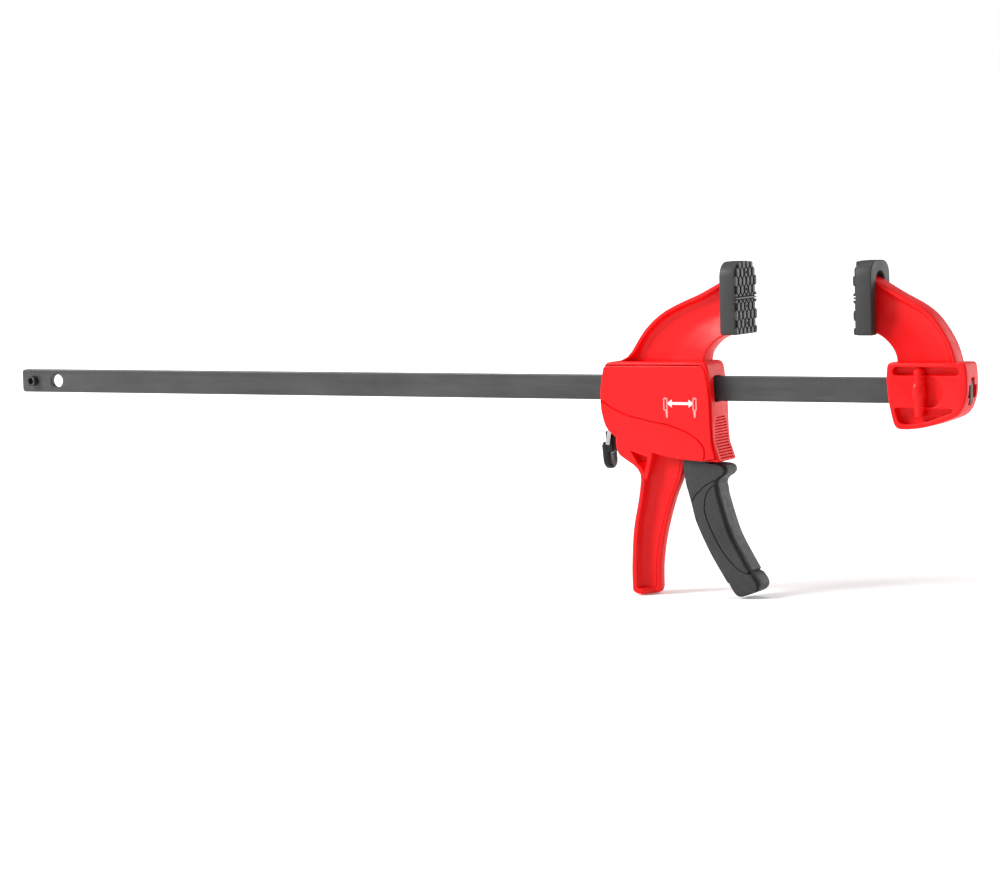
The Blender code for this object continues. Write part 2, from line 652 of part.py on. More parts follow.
def make_fixed_jaw(look):
    def at(shares):
        return placed(shares, HEAD_START, HEAD_LOW, HEAD_LENGTH, HEAD_HEIGHT)

    outline = at(HEAD_TOP_SHARES) + smooth(at(HEAD_FRONT_SHARES)) + smooth(at(HEAD_FOOT_SHARES))
    outline += smooth(at(HEAD_END_SHARES))
    half = HEAD_WIDTH / 2
    jaw = prism("fixed_jaw", outline, -half, half, HEAD_EDGE)
    top = -HEAD_TOP_BELOW_BAND
    slot = rounded_box(
        HEAD_START + SLOT_POCKET_MARGIN, top - SLOT_POCKET_BELOW_TOP - SLOT_POCKET_HEIGHT,
        HEAD_LENGTH - 2 * SLOT_POCKET_MARGIN, SLOT_POCKET_HEIGHT, SLOT_POCKET_HEIGHT / 2 - GAP,
    )
    ring_centre = (HEAD_START + ROUND_POCKET_FROM_START, BAR_MIDDLE)
    ring = arc(ring_centre, ROUND_POCKET_RADIUS, 0, 345, ROUND_STEPS - 1)
    low_pocket = at(LOW_POCKET_SHARES)
    rib_x = HEAD_START + RIB_FROM_START
    bulge_end = RIB_BULGE_HEIGHT / 2 + RIB_BULGE_TAPER
    rib = (
        (RIB_RADIUS, top - RIB_TOP_BELOW_TOP - RIB_LENGTH), (RIB_RADIUS, BAR_MIDDLE - bulge_end),
        (RIB_BULGE_RADIUS, BAR_MIDDLE - RIB_BULGE_HEIGHT / 2),
        (RIB_BULGE_RADIUS, BAR_MIDDLE + RIB_BULGE_HEIGHT / 2),
        (RIB_RADIUS, BAR_MIDDLE + bulge_end), (RIB_RADIUS, top - RIB_TOP_BELOW_TOP),
    )
    for side in (-1, 1):
        floor, open_end = side * HEAD_POCKET_FLOOR, side * (half + OVERRUN)
        for shape_name, pocket in (("slot", slot), ("ring", ring), ("low", low_pocket)):
            cut(jaw, prism(f"head_{shape_name}_pocket_{side}", pocket, floor, open_end))
        join(jaw, turned(f"head_rib_{side}", rib, (rib_x, side * RIB_OFF_MIDDLE, 0.0), axis="Z", steps=16))
    join(jaw, *make_arm(
        "fixed_arm", FIXED_ARM_BACK_SHARES, FIXED_ARM_THROAT_SHARES, 1,
        HEAD_START + HEAD_LENGTH, HEAD_TOP_BELOW_BAND,
    ))
    slit = BAR_THICKNESS / 2 + BAR_CLEARANCE
    reach = BAR_HEIGHT / 2 + BAR_CLEARANCE
    end = HEAD_START + HEAD_LENGTH
    cut(
        jaw,
        box(
            "head_bar_slot", (HEAD_START - OVERRUN, -slit, BAR_MIDDLE - reach),
            (end + OVERRUN, slit, BAR_MIDDLE + reach),
        ),
        box(
            "head_end_window",
            (end - END_WINDOW_DEPTH, -END_WINDOW_WIDTH / 2, BAR_MIDDLE - END_WINDOW_HEIGHT / 2),
            (end + OVERRUN, END_WINDOW_WIDTH / 2, BAR_MIDDLE + END_WINDOW_HEIGHT / 2),
        ),
        rod(
            "head_pin_hole", jaw_pin_centre(), JAW_PIN_RADIUS + GAP, -JAW_PIN_BLIND - GAP, half + OVERRUN,
            steps=16,
        ),
    )
    finish(jaw, look)


def housing_points(shares):
    return placed(shares, HOUSING_BACK, HOUSING_LOW, HOUSING_LENGTH, HOUSING_HEIGHT)


def housing_outline():
    outline = housing_points(HOUSING_TOP_SHARES) + smooth(housing_points(HOUSING_BACK_SHARES))
    outline += smooth(housing_points(HOUSING_FOOT_SHARES)) + smooth(housing_points(HOUSING_FRONT_SHARES), 2)
    return outline


def cover_region(gap):
    """Where a cover lies, with a gap to the frame's lip along its top and front."""
    front = smooth(housing_points(HOUSING_FRONT_SHARES), 2)[:-2]
    top = -HOUSING_TOP_BELOW_BAND - COVER_TOP_INSET - gap
    edge = [(x - COVER_FRONT_INSET - gap, z) for x, z in front if z < top]
    low, back = HOUSING_LOW - OVERRUN, HOUSING_BACK - OVERRUN
    return [(back, top), (back, low), (edge[0][0], low), *edge, (edge[-1][0], top)]


def screw_places():
    return [(within(behind), BAR_MIDDLE + above * HOUSING_HEIGHT) for behind, above in SCREW_SHARES]


def make_cover(name, side, look, home):
    """A side cover: side is -1 for the front one, which holds the screws' sockets, and 1 for the rear."""
    cover = prism(name, housing_outline(), -HALF_HOUSING, HALF_HOUSING, HOUSING_EDGE, home)
    reach = side * (HALF_HOUSING + OVERRUN)
    keep(cover, prism(name + "_region", cover_region(GAP), side * COVER_INNER, reach, home=home))
    below_step = smooth(housing_points(COVER_STEP_SHARES))
    below_step += [(below_step[0][0], below_step[-1][1])]
    step_floor = side * (HALF_HOUSING - COVER_STEP)
    cut(cover, prism(name + "_step", below_step, step_floor, side * (HALF_HOUSING + OVERRUN), home=home))
    seat_end = side * (COVER_INNER + PIN_SEAT_DEPTH)
    seat = rod(name + "_pin_seat", PIVOT, TRIGGER_PIN_RADIUS + GAP, 0.0, seat_end, home)
    cut(cover, seat)
    for i, place in enumerate(screw_places()):
        if side < 0:
            inner = -COVER_INNER + SOCKET_LENGTH
            join(cover, rod(f"socket_{i}", place, SOCKET_RADIUS, -COVER_INNER - COVER_STEP, inner, home, 16))
            deep = inner - SCREW_BITE - GAP
            cut(cover, rod(f"socket_{i}_hole", place, SCREW_RADIUS + GAP, deep, inner + OVERRUN, home, 12))
        else:
            sink = HALF_HOUSING - SCREW_HEAD_SINK - GAP
            cut(
                cover,
                rod(f"rear_hole_{i}", place, SCREW_RADIUS + GAP, 0.0, HALF_HOUSING, home, 12),
                rod(f"rear_sink_{i}", place, SCREW_HEAD_RADIUS + GAP, sink, reach, home, 16),
            )
    finish(cover, look)


def make_screw(name, place, look, home):
    seat = HALF_HOUSING - SCREW_HEAD_SINK
    tip = -COVER_INNER + SOCKET_LENGTH - SCREW_BITE
    crown = seat + SCREW_HEAD_HEIGHT
    profile = (
        (SCREW_RADIUS, tip), (SCREW_RADIUS, seat), (SCREW_HEAD_RADIUS, seat),
        (SCREW_HEAD_RADIUS, crown - SCREW_CROSS_DEPTH), (SCREW_HEAD_RADIUS - SCREW_CROSS_DEPTH, crown),
    )
    screw = turned(name, profile, (place[0], 0.0, place[1]), home=home, steps=16)
    for long_x in (True, False):
        reach = (SCREW_CROSS_LENGTH / 2, SCREW_CROSS_WIDTH / 2)
        dx, dz = reach if long_x else reach[::-1]
        low = (place[0] - dx, crown - SCREW_CROSS_DEPTH, place[1] - dz)
        high = (place[0] + dx, crown + OVERRUN, place[1] + dz)
        cut(screw, box(f"{name}_cross_{int(long_x)}", low, high, home))
    finish(screw, look)


def chamber_outlines():
    """The hollows inside the frame: one for the brake plate, one for the drive plates and the trigger."""
    top = BAR_MIDDLE + CHAMBER_TOP_ABOVE_BAR
    wall = HOUSING_BACK + HOUSING_WALL
    seat_foot = BAR_MIDDLE - BRAKE_CHAMBER_FOOT_BELOW_BAR
    fulcrum_x, fulcrum_z = fulcrum()
    nub = arc((fulcrum_x + GAP + FULCRUM_RADIUS, fulcrum_z), FULCRUM_RADIUS, 90, 270, 6)
    guide_back, seat = within(GUIDE_BACK_SHARE), within(BRAKE_SEAT_SHARE)
    back_foot = [(x + HOUSING_WALL, z) for x, z in housing_points(HOUSING_BACK_SHARES) if z < BAR_MIDDLE]
    brake = [(wall, top), *back_foot[:-1], (back_foot[-1][0] + HOUSING_WALL, seat_foot), (seat, seat_foot)]
    brake += [(seat, nub[-1][1]), *nub[::-1], (guide_back, nub[0][1]), (guide_back, top)]
    front, step = within(CHAMBER_FRONT_SHARE), within(BOSS_STEP_SHARE)
    knee = BAR_MIDDLE - CHAMBER_KNEE_BELOW_BAR
    guide_front, well = within(GUIDE_FRONT_SHARE), within(TRIGGER_WELL_BACK_SHARE)
    below, boss = HOUSING_LOW - OVERRUN, BAR_MIDDLE + BOSS_STEP_ABOVE_BAR
    drive = [
        (guide_front, top), (guide_front, knee), (well, knee), (well, below), (front, below), (front, boss),
        (step, boss), (step, top),
    ]
    return brake, drive


def grip_rib_cutter(home):
    """Fine grooves across the front of the housing, which leave the ribs between them."""
    front = smooth(housing_points(HOUSING_FRONT_SHARES), 2)
    shape = bmesh.new()
    for k in range(GRIP_RIB_COUNT):
        z = HOUSING_LOW + GRIP_RIB_LOW + k * GRIP_RIB_PITCH
        a, b = next((a, b) for a, b in zip(front, front[1:]) if a[1] <= z < b[1])
        x = a[0] + (b[0] - a[0]) * (z - a[1]) / (b[1] - a[1])
        size = (GRIP_RIB_DEPTH + OVERRUN, GRIP_RIB_WIDTH, GRIP_RIB_PITCH / 2)
        place = Matrix.Translation((x - GRIP_RIB_DEPTH + size[0] / 2, 0.0, z))
        place @= Matrix.Diagonal((*size, 1.0))
        bmesh.ops.create_cube(shape, size=1.0, matrix=place)
    return solid("grip_rib_cutter", shape, home=home)


def handle_points(shares):
    left, low = within(HANDLE_BACK_SHARE), HOUSING_LOW - HANDLE_HEIGHT
    return placed(shares, left, low, HANDLE_SPREAD, HANDLE_HEIGHT)


def make_handle(home):
    """The handle's solids: a wide flange along its back and foot, and a narrow web in front of it."""
    back = handle_points(HANDLE_TAIL_SHARES) + smooth(handle_points(HANDLE_BACK_SHARES))
    foot = handle_points(HANDLE_FOOT_SHARES)
    rim_front = smooth(handle_points(HANDLE_RIM_FRONT_SHARES))
    web_front = smooth(handle_points(HANDLE_WEB_FRONT_SHARES))
    half, half_web = HANDLE_WIDTH / 2, HANDLE_WEB / 2
    low = foot[1][1]
    sole_top = low + HANDLE_RIM
    corner = [(web_front[-1][0], sole_top), (rim_front[-1][0], sole_top)]
    flange = prism("handle_flange", back + foot + corner + rim_front[-2::-1], -half, half, HANDLE_EDGE, home)
    shoulder, front = foot[1][0] - HANDLE_RIM, web_front[-1][0]
    under_covers = [(x, z - 2 * GAP) for x, z in housing_outline()]
    for side in (-1, 1):
        wide = side * (half + OVERRUN)
        taper = [(shoulder, side * half), (front, side * half_web), (front + OVERRUN, side * half_web)]
        taper += [(front + OVERRUN, wide), (shoulder, wide)]
        cut(
            flange,
            prism(f"handle_gusset_{side}", handle_points(GUSSET_SHARES), side * half_web, wide, home=home),
            prism(f"sole_taper_{side}", taper, low - OVERRUN, sole_top + GAP, home=home, along="Z"),
            prism(f"flange_trim_{side}", under_covers, side * (COVER_INNER - GAP), wide, home=home),
        )
    hidden = [(x - HANDLE_RIM / 3, z) for x, z in rim_front[:-1]]
    sunk = sole_top - HANDLE_RIM / 3
    hidden += [(rim_front[-1][0] - HANDLE_RIM / 3, sunk), (front - HANDLE_RIM / 3, sunk)]
    web = prism("handle_web", hidden + web_front[::-1], -half_web, half_web, HANDLE_EDGE, home)
    return flange, web


def make_jaw_frame(look, home):
    frame = prism("jaw_frame", housing_outline(), -HALF_HOUSING, HALF_HOUSING, HOUSING_EDGE, home)
    join(frame, *make_arm(
        "moving_arm", MOVING_ARM_BACK_SHARES, MOVING_ARM_THROAT_SHARES, -1,
        HOUSING_FRONT_BEHIND_FACE + HOUSING_LENGTH, HOUSING_TOP_BELOW_BAND, home,
    ))
    for side in (-1, 1):
        bed, open_end = side * (COVER_INNER - GAP), side * (HALF_HOUSING + OVERRUN)
        cut(frame, prism(f"cover_bed_{side}", cover_region(0.0), bed, open_end, home=home))
    wide = HALF_HOUSING + OVERRUN
    for name, outline in zip(("brake_chamber", "drive_chamber"), chamber_outlines()):
        cut(frame, prism(name, outline, -wide, wide, home=home))
    slit, reach = BAR_THICKNESS / 2 + BAR_CLEARANCE, BAR_HEIGHT / 2 + BAR_CLEARANCE
    mouth, mouth_reach = MOUTH_WIDTH / 2, BAR_HEIGHT / 2 + MOUTH_CLEARANCE
    window = LEVER_WINDOW_WIDTH / 2
    cut(
        frame,
        box(
            "frame_bar_slot", (HOUSING_BACK - OVERRUN, -slit, BAR_MIDDLE - reach),
            (within(GUIDE_FRONT_SHARE) + OVERRUN, slit, BAR_MIDDLE + reach), home,
        ),
        box(
            "frame_mouth", (within(CHAMBER_FRONT_SHARE) - GAP, -mouth, BAR_MIDDLE - mouth_reach),
            (0.0, mouth, BAR_MIDDLE + mouth_reach), home,
        ),
        box(
            "lever_window", (HOUSING_BACK - OVERRUN, -window, BAR_MIDDLE - LEVER_WINDOW_FOOT_BELOW_BAR),
            (within(LEVER_WINDOW_FRONT_SHARE), window, BAR_MIDDLE - LEVER_WINDOW_TOP_BELOW_BAR), home,
        ),
        grip_rib_cutter(home),
    )
    for i, place in enumerate(screw_places()):
        socket_end = -COVER_INNER + SOCKET_LENGTH + GAP
        cut(
            frame,
            rod(f"frame_hole_{i}", place, SCREW_RADIUS + GAP, -HALF_HOUSING, HALF_HOUSING, home, 12),
            rod(f"frame_sink_{i}", place, SOCKET_RADIUS + GAP, -HALF_HOUSING, socket_end, home, 16),
        )
    join(frame, *make_handle(home))
    finish(frame, look)


def trigger_points(shares):
    return placed(shares, 0.0, HOUSING_LOW - PIVOT[1], TRIGGER_LENGTH, TRIGGER_LENGTH)


def nose_centre():
    return (-TRIGGER_NOSE_BEHIND_PIVOT, -TRIGGER_NOSE_BELOW_PIVOT)


def make_trigger(look, home):
    """A channel that opens towards the handle, with two cheeks that push the drive plates."""
    outline = smooth(trigger_points(TRIGGER_BACK_SHARES)) + smooth(trigger_points(TRIGGER_FOOT_SHARES), 2)
    outline += smooth(trigger_points(TRIGGER_FRONT_SHARES)) + smooth(trigger_points(TRIGGER_NUB_SHARES), 2)
    outline += trigger_points(TRIGGER_NECK_SHARES) + [(TRIGGER_NECK_FRONT, 0.0), (-TRIGGER_NECK_BACK, 0.0)]
    outline += trigger_points(TRIGGER_THROAT_SHARES)
    half = TRIGGER_WIDTH / 2
    trigger = prism("trigger", outline, -half, half, TRIGGER_EDGE, home)
    join(
        trigger,
        rod("trigger_boss", (0.0, 0.0), TRIGGER_BOSS_RADIUS, -half, half, home),
        rod("trigger_nose", nose_centre(), TRIGGER_NOSE_RADIUS, -half, half, home, 16),
    )
    slot = half - TRIGGER_WALL
    opening = trigger_points(TRIGGER_SLOT_SHARES)
    slot_top = TRIGGER_BOSS_RADIUS + OVERRUN
    opening = [(opening[-1][0], slot_top), (opening[0][0], slot_top), *opening]
    panel = smooth(trigger_points(TRIGGER_PANEL_SHARES), 2)
    cut(
        trigger,
        prism("trigger_slot", opening, -slot, slot, home=home),
        rod("trigger_pin_hole", (0.0, 0.0), TRIGGER_PIN_RADIUS + GAP, -half - OVERRUN, half + OVERRUN, home),
        prism("trigger_panel_near", panel, -half - OVERRUN, TRIGGER_RELIEF - half, home=home),
        prism("trigger_panel_far", panel, half - TRIGGER_RELIEF, half + OVERRUN, home=home),
    )
    finish(trigger, look)


def bar_hole(name, thickness, tilt, place, home):
    """The cutter of a tilted plate's hole, which leaves the bar clear of it."""
    reach = (BAR_HEIGHT / 2 + GAP + thickness / 2 * math.sin(tilt)) / math.cos(tilt)
    slit = BAR_THICKNESS / 2 + GAP
    hole = box(name, (-OVERRUN, -slit, -reach), (OVERRUN, slit, reach), home)
    hole.location = place
    hole.rotation_euler = (0.0, tilt, 0.0)
    return hole


def drive_plate_places():
    """Each drive plate's place on the bar, with the first one just behind the trigger's noses."""
    half = DRIVE_PLATE_THICKNESS / 2 / math.cos(DRIVE_PLATE_TILT)
    nose_x = within(PIVOT_SHARE) - TRIGGER_NOSE_BEHIND_PIVOT - TRIGGER_NOSE_RADIUS
    drop = PIVOT_BELOW_BAR + TRIGGER_NOSE_BELOW_PIVOT
    first = nose_x - GAP - half + drop * math.tan(DRIVE_PLATE_TILT)
    return [first - k * (2 * half + GAP) for k in range(DRIVE_PLATE_COUNT)]


def make_drive_plates(look, home):
    top = BAR_HEIGHT / 2 + DRIVE_PLATE_TOP_ABOVE_BAR
    foot = PIVOT_BELOW_BAR + DRIVE_PLATE_FOOT_BELOW_PIVOT
    half = DRIVE_PLATE_THICKNESS / 2
    width = DRIVE_PLATE_WIDTH
    for k, x in enumerate(drive_plate_places()):
        outline = rounded_box(-width / 2, -foot, width, foot + top, DRIVE_PLATE_THICKNESS)
        plate = prism(f"drive_plate_{k + 1}", outline, -half, half, home=home, along="X")
        plate.location = (x, 0.0, BAR_MIDDLE)
        plate.rotation_euler = (0.0, DRIVE_PLATE_TILT, 0.0)
        hole = bar_hole(f"drive_hole_{k + 1}", DRIVE_PLATE_THICKNESS, DRIVE_PLATE_TILT, plate.location, home)
        cut(plate, hole)
        finish(plate, look)


def make_drive_spring(look, home):
    last = drive_plate_places()[-1]
    outer = DRIVE_SPRING_RADIUS + DRIVE_SPRING_WIRE / 2
    reach = DRIVE_PLATE_THICKNESS / 2 / math.cos(DRIVE_PLATE_TILT) + outer * math.tan(DRIVE_PLATE_TILT)
    end = last - reach - GAP - DRIVE_SPRING_WIRE / 2
    start = GAP + DRIVE_SPRING_WIRE / 2 + within(GUIDE_FRONT_SHARE)
    spring = coil(
        "drive_spring", DRIVE_SPRING_RADIUS, DRIVE_SPRING_WIRE, DRIVE_SPRING_TURNS, start, end,
        (0.0, 0.0, BAR_MIDDLE), home,
    )
    finish(spring, look)


def brake_face_x(below):
    """Where the brake plate's front face lies, so far below the middle of the bar."""
    half = BRAKE_PLATE_THICKNESS / 2 / math.cos(BRAKE_PLATE_TILT)
    return within(BRAKE_PLATE_SHARE) + half - below * math.tan(BRAKE_PLATE_TILT)


def fulcrum():
    """The brake plate turns on this point, on its front face just below the bar."""
    return (brake_face_x(FULCRUM_BELOW_BAR), BAR_MIDDLE - FULCRUM_BELOW_BAR)


def make_brake(plate_look, lever_look, home):
    """The brake plate and the lever on its foot. The home is at the fulcrum."""
    place = (within(BRAKE_PLATE_SHARE) - fulcrum()[0], 0.0, FULCRUM_BELOW_BAR)
    top = BAR_HEIGHT / 2 + BRAKE_PLATE_TOP_ABOVE_BAR
    foot, tongue_start = -BRAKE_PLATE_FOOT_BELOW_BAR, LEVER_TONGUE_LENGTH - BRAKE_PLATE_FOOT_BELOW_BAR
    half, tongue = BRAKE_PLATE_WIDTH / 2, LEVER_TONGUE_WIDTH / 2
    outline = [
        (-half, top), (-half, tongue_start), (-tongue, tongue_start), (-tongue, foot), (tongue, foot),
        (tongue, tongue_start), (half, tongue_start), (half, top),
    ]
    thick = BRAKE_PLATE_THICKNESS / 2
    plate = prism("brake_plate", outline, -thick, thick, home=home, along="X")
    cut(plate, bar_hole("brake_hole", BRAKE_PLATE_THICKNESS, BRAKE_PLATE_TILT, place, home))
    lever_top = tongue_start - GAP
    shoulder, tip = lever_top - LEVER_HEAD_LENGTH, lever_top - LEVER_LENGTH
    head, tab = LEVER_HEAD_THICKNESS / 2, LEVER_TAB_THICKNESS / 2
    side_view = [
        (-head, lever_top), (-head, shoulder + head), (-tab, shoulder), (-tab, tip), (tab, tip),
        (tab, shoulder),
        (head, shoulder + head), (head, lever_top),
    ]
    lever = prism("release_lever", side_view, -LEVER_WIDTH, LEVER_WIDTH, LEVER_EDGE, home)
    wide = LEVER_WIDTH / 2
    front_view = [(wide, lever_top + OVERRUN), (-wide, lever_top + OVERRUN)]
    front_view += arc((0.0, tip + wide), wide, 180, 360, 10)
    reach = GAP + LEVER_TONGUE_WIDTH / 2
    trim = prism("lever_front_view", front_view, -LEVER_WIDTH, LEVER_WIDTH, home=home, along="X")
    keep(lever, trim)
    low, high = (-thick - GAP, -reach, foot - GAP), (thick + GAP, reach, lever_top + OVERRUN)
    socket = box("lever_socket", low, high, home)
    cut(lever, socket)
    for piece in (plate, lever, trim, socket):
        piece.location = place
        piece.rotation_euler = (0.0, BRAKE_PLATE_TILT, 0.0)
    finish(plate, plate_look)
    finish(lever, lever_look)


def make_brake_spring(look, home):
    outer = BRAKE_SPRING_RADIUS + BRAKE_SPRING_WIRE / 2
    start = brake_face_x(BRAKE_SPRING_BELOW_BAR - outer) + GAP + BRAKE_SPRING_WIRE / 2
    end = within(BRAKE_SEAT_SHARE) - GAP - BRAKE_SPRING_WIRE / 2
    place = (0.0, 0.0, BAR_MIDDLE - BRAKE_SPRING_BELOW_BAR)
    spring = coil(
        "brake_spring", BRAKE_SPRING_RADIUS, BRAKE_SPRING_WIRE, BRAKE_SPRING_TURNS, start, end, place, home,
    )
    finish(spring, look)


def main():
    red = material("red_nylon", (0.87, 0.03, 0.03), 0.42)
    black = material("black_nylon", (0.045, 0.045, 0.045), 0.60)
    rubber = material("black_rubber", (0.050, 0.050, 0.050), 0.75)
    bar_steel = material("dark_bar_steel", (0.10, 0.10, 0.105), 0.45, 1.0)
    bright_steel = material("bright_steel", (0.55, 0.55, 0.56), 0.35, 1.0)
    screw_steel = material("black_screw_steel", (0.06, 0.06, 0.065), 0.40, 1.0)

    moving = home_at("moving_jaw_home", -PAD_GAP, 0.0)
    trigger_home = home_at("trigger_home", *PIVOT, moving)
    brake_home = home_at("brake_home", *fulcrum(), moving)

    make_bar(bar_steel)
    make_stop_pin(bright_steel.copy())
    make_fixed_jaw(red)
    half_head = HEAD_WIDTH / 2 - GAP
    jaw_pin = rod("fixed_jaw_pin", jaw_pin_centre(), JAW_PIN_RADIUS, -JAW_PIN_BLIND, half_head, steps=16)
    finish(jaw_pin, bright_steel.copy())
    make_pad("fixed_pad", 1, rubber)

    make_jaw_frame(red.copy(), moving)
    make_cover("front_cover", -1, red.copy(), moving)
    make_cover("rear_cover", 1, red.copy(), moving)
    for i, place in enumerate(screw_places()):
        make_screw(f"cover_screw_{i + 1}", place, screw_steel, moving)
    make_pad("moving_pad", -1, rubber.copy(), moving)
    pin_reach = COVER_INNER + PIN_SEAT_DEPTH - GAP
    trigger_pin = rod("trigger_pin", PIVOT, TRIGGER_PIN_RADIUS, -pin_reach, pin_reach, moving)
    finish(trigger_pin, bright_steel.copy())
    make_trigger(black, trigger_home)
    make_drive_plates(bright_steel, moving)
    make_drive_spring(bright_steel.copy(), moving)
    make_brake(bright_steel.copy(), black.copy(), brake_home)
    make_brake_spring(bright_steel.copy(), moving)


main()
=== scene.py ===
"""A one-handed quick release clamp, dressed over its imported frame."""

import math

import bmesh
import bpy
from mathutils import Matrix, Vector


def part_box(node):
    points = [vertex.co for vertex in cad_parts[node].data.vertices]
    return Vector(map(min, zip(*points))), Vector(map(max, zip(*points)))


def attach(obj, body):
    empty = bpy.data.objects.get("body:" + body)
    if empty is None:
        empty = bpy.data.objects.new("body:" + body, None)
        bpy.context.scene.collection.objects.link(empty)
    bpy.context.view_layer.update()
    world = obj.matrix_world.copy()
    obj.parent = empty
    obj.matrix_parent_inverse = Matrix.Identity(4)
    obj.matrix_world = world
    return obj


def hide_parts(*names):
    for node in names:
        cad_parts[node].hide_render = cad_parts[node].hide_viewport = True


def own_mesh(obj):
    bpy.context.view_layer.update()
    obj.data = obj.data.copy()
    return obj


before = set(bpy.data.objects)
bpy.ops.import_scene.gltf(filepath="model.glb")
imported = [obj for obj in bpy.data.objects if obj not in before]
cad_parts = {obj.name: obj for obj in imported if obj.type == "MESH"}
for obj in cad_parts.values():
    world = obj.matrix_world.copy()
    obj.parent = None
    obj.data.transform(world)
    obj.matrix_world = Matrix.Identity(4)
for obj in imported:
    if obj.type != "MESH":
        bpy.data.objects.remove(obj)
bpy.ops.object.select_all(action="DESELECT")
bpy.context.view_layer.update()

# Places and sizes are in millimetres until the section on floor, light and camera
MM = 0.001
BAR_Z = -52.35  # middle of the bar
MOVING_FACE = -71.6  # the moving pad's gripping face; the fixed one's is at 0
COVER_UNDERSIDE, COVER_FACE = 9.8, 12.0  # the two sides of a cover, from the middle plane
MARK_FACE = 12.04
HEAD_FACE = 9.4
JAW_PIN = (36.2, -52.4)
TRIGGER_PIN = (-100.0, -66.5)
PIN_HOLE = 2.3  # its radius
PAST = 14.0  # beyond every side face, for tools that cut right through it


# Bench tools

SAME = 0.001 * MM  # corners this close are the same one
SEAM = 0.005 * MM  # corners this close are welded
RIM_LINE = 0.06  # a fine inset, which keeps a flat side's shading out of its rounded rim


def take(piece):
    """Puts one piece in hand."""
    if bpy.context.object and bpy.context.object.mode != "OBJECT":
        bpy.ops.object.mode_set(mode="OBJECT")
    bpy.ops.object.select_all(action="DESELECT")
    piece.select_set(True)
    bpy.context.view_layer.objects.active = piece


def edit(piece):
    take(piece)
    bpy.ops.object.mode_set(mode="EDIT")


def select_all():
    bpy.ops.mesh.select_all(action="SELECT")


def edit_all(piece):
    edit(piece)
    select_all()


def put_down():
    bpy.ops.object.mode_set(mode="OBJECT")


def faced_out(piece):
    """Turns all faces of the piece in hand outwards, and puts it down."""
    select_all()
    bpy.ops.mesh.normals_make_consistent(inside=False)
    put_down()
    return piece


def named(piece, name):
    piece.name = piece.data.name = name
    return piece


def shape_in_hand():
    """The mesh of the piece in hand, which can be asked for a corner by its number."""
    shape = bmesh.from_edit_mesh(bpy.context.edit_object.data)
    shape.verts.ensure_lookup_table()
    return shape


def pick(kind, test):
    """Selects the corners (VERT), edges (EDGE) or faces (FACE) in hand that pass the test."""
    bpy.ops.mesh.select_mode(type=kind)
    bpy.ops.mesh.select_all(action="DESELECT")
    shape = shape_in_hand()
    items = {"VERT": shape.verts, "EDGE": shape.edges, "FACE": shape.faces}
    for sequence in items.values():
        sequence.index_update()
    for item in items[kind]:
        item.select_set(bool(test(item)))
    shape.select_flush_mode()
    bmesh.update_edit_mesh(bpy.context.edit_object.data)


def pick_ring(corners):
    """Selects the edges from each of these corners to the next, all the way round."""
    steps = {corner: step for step, corner in enumerate(corners)}

    def in_ring(edge):
        first, second = (steps.get(corner.index) for corner in edge.verts)
        return None not in (first, second) and abs(first - second) in (1, len(corners) - 1)

    pick("EDGE", in_ring)


def flat_end(axis):
    """A test for the large flat faces that look straight along an axis."""
    return lambda face: abs(face.normal[axis]) > 0.9999 and len(face.verts) > 8


def slide(corners, places):
    """Slides corners of the piece in hand to their places."""
    bpy.ops.mesh.select_mode(type="VERT")
    bpy.ops.mesh.select_all(action="DESELECT")
    for corner, place in zip(corners, places):
        shape = shape_in_hand()
        shape.verts[corner].select_set(True)
        bpy.ops.transform.translate(value=Vector(place) * MM - shape.verts[corner].co)
        shape = shape_in_hand()
        shape.verts[corner].select_set(False)


def wire(name, ring):
    """A closed wire through these places, left in edit mode."""
    bpy.ops.mesh.primitive_circle_add(
        vertices=len(ring), radius=MM, fill_type="NOTHING", location=(0, 0, 0)
    )
    piece = named(bpy.context.object, name)
    edit(piece)
    slide(range(len(ring)), ring)
    select_all()
    return piece


def drawn(name, rings):
    """A closed wire drawn out from section to section, with its ends filled."""
    piece = wire(name, rings[0])
    bpy.ops.mesh.edge_face_add()
    last = list(range(len(rings[0])))
    for ring in rings[1:]:
        pick_ring(last)
        bpy.ops.mesh.extrude_edges_move()
        shape = shape_in_hand()
        spots = [shape.verts[corner].co.copy() for corner in last]
        fresh = range(len(shape.verts) - len(ring), len(shape.verts))
        last = [min(fresh, key=lambda k: (shape.verts[k].co - spot).length) for spot in spots]
        slide(last, ring)
    pick_ring(last)
    bpy.ops.mesh.edge_face_add()
    return faced_out(piece)


def board(name, outline, near, far, rounding=0.0, along="Y", segments=3, rims=(-1, 1)):
    """A board of this outline, from near to far along an axis, with its rims rounded.

    The outline is (x, z) for a board along Y, and (y, z) for one along X.
    """
    axis = "XYZ".index(along)
    order = {"X": (2, 0, 1), "Y": (0, 2, 1)}[along]
    piece = wire(name, [[(u, v, near)[k] for k in order] for u, v in outline])
    bpy.ops.mesh.edge_face_add()
    step = [0.0, 0.0, 0.0]
    step[axis] = (far - near) * MM
    bpy.ops.mesh.extrude_region_move(TRANSFORM_OT_translate={"value": step})
    select_all()
    bpy.ops.mesh.normals_make_consistent(inside=False)
    if rounding:
        pick("FACE", lambda f: any(f.normal[axis] * sign > 0.999 for sign in rims))
        bpy.ops.mesh.region_to_loop()
        bpy.ops.mesh.bevel(offset=rounding * MM, segments=segments, profile=0.5, affect="EDGES")
        pick("FACE", flat_end(axis))
        bpy.ops.mesh.inset(thickness=RIM_LINE * MM, use_even_offset=False)
    put_down()
    return piece


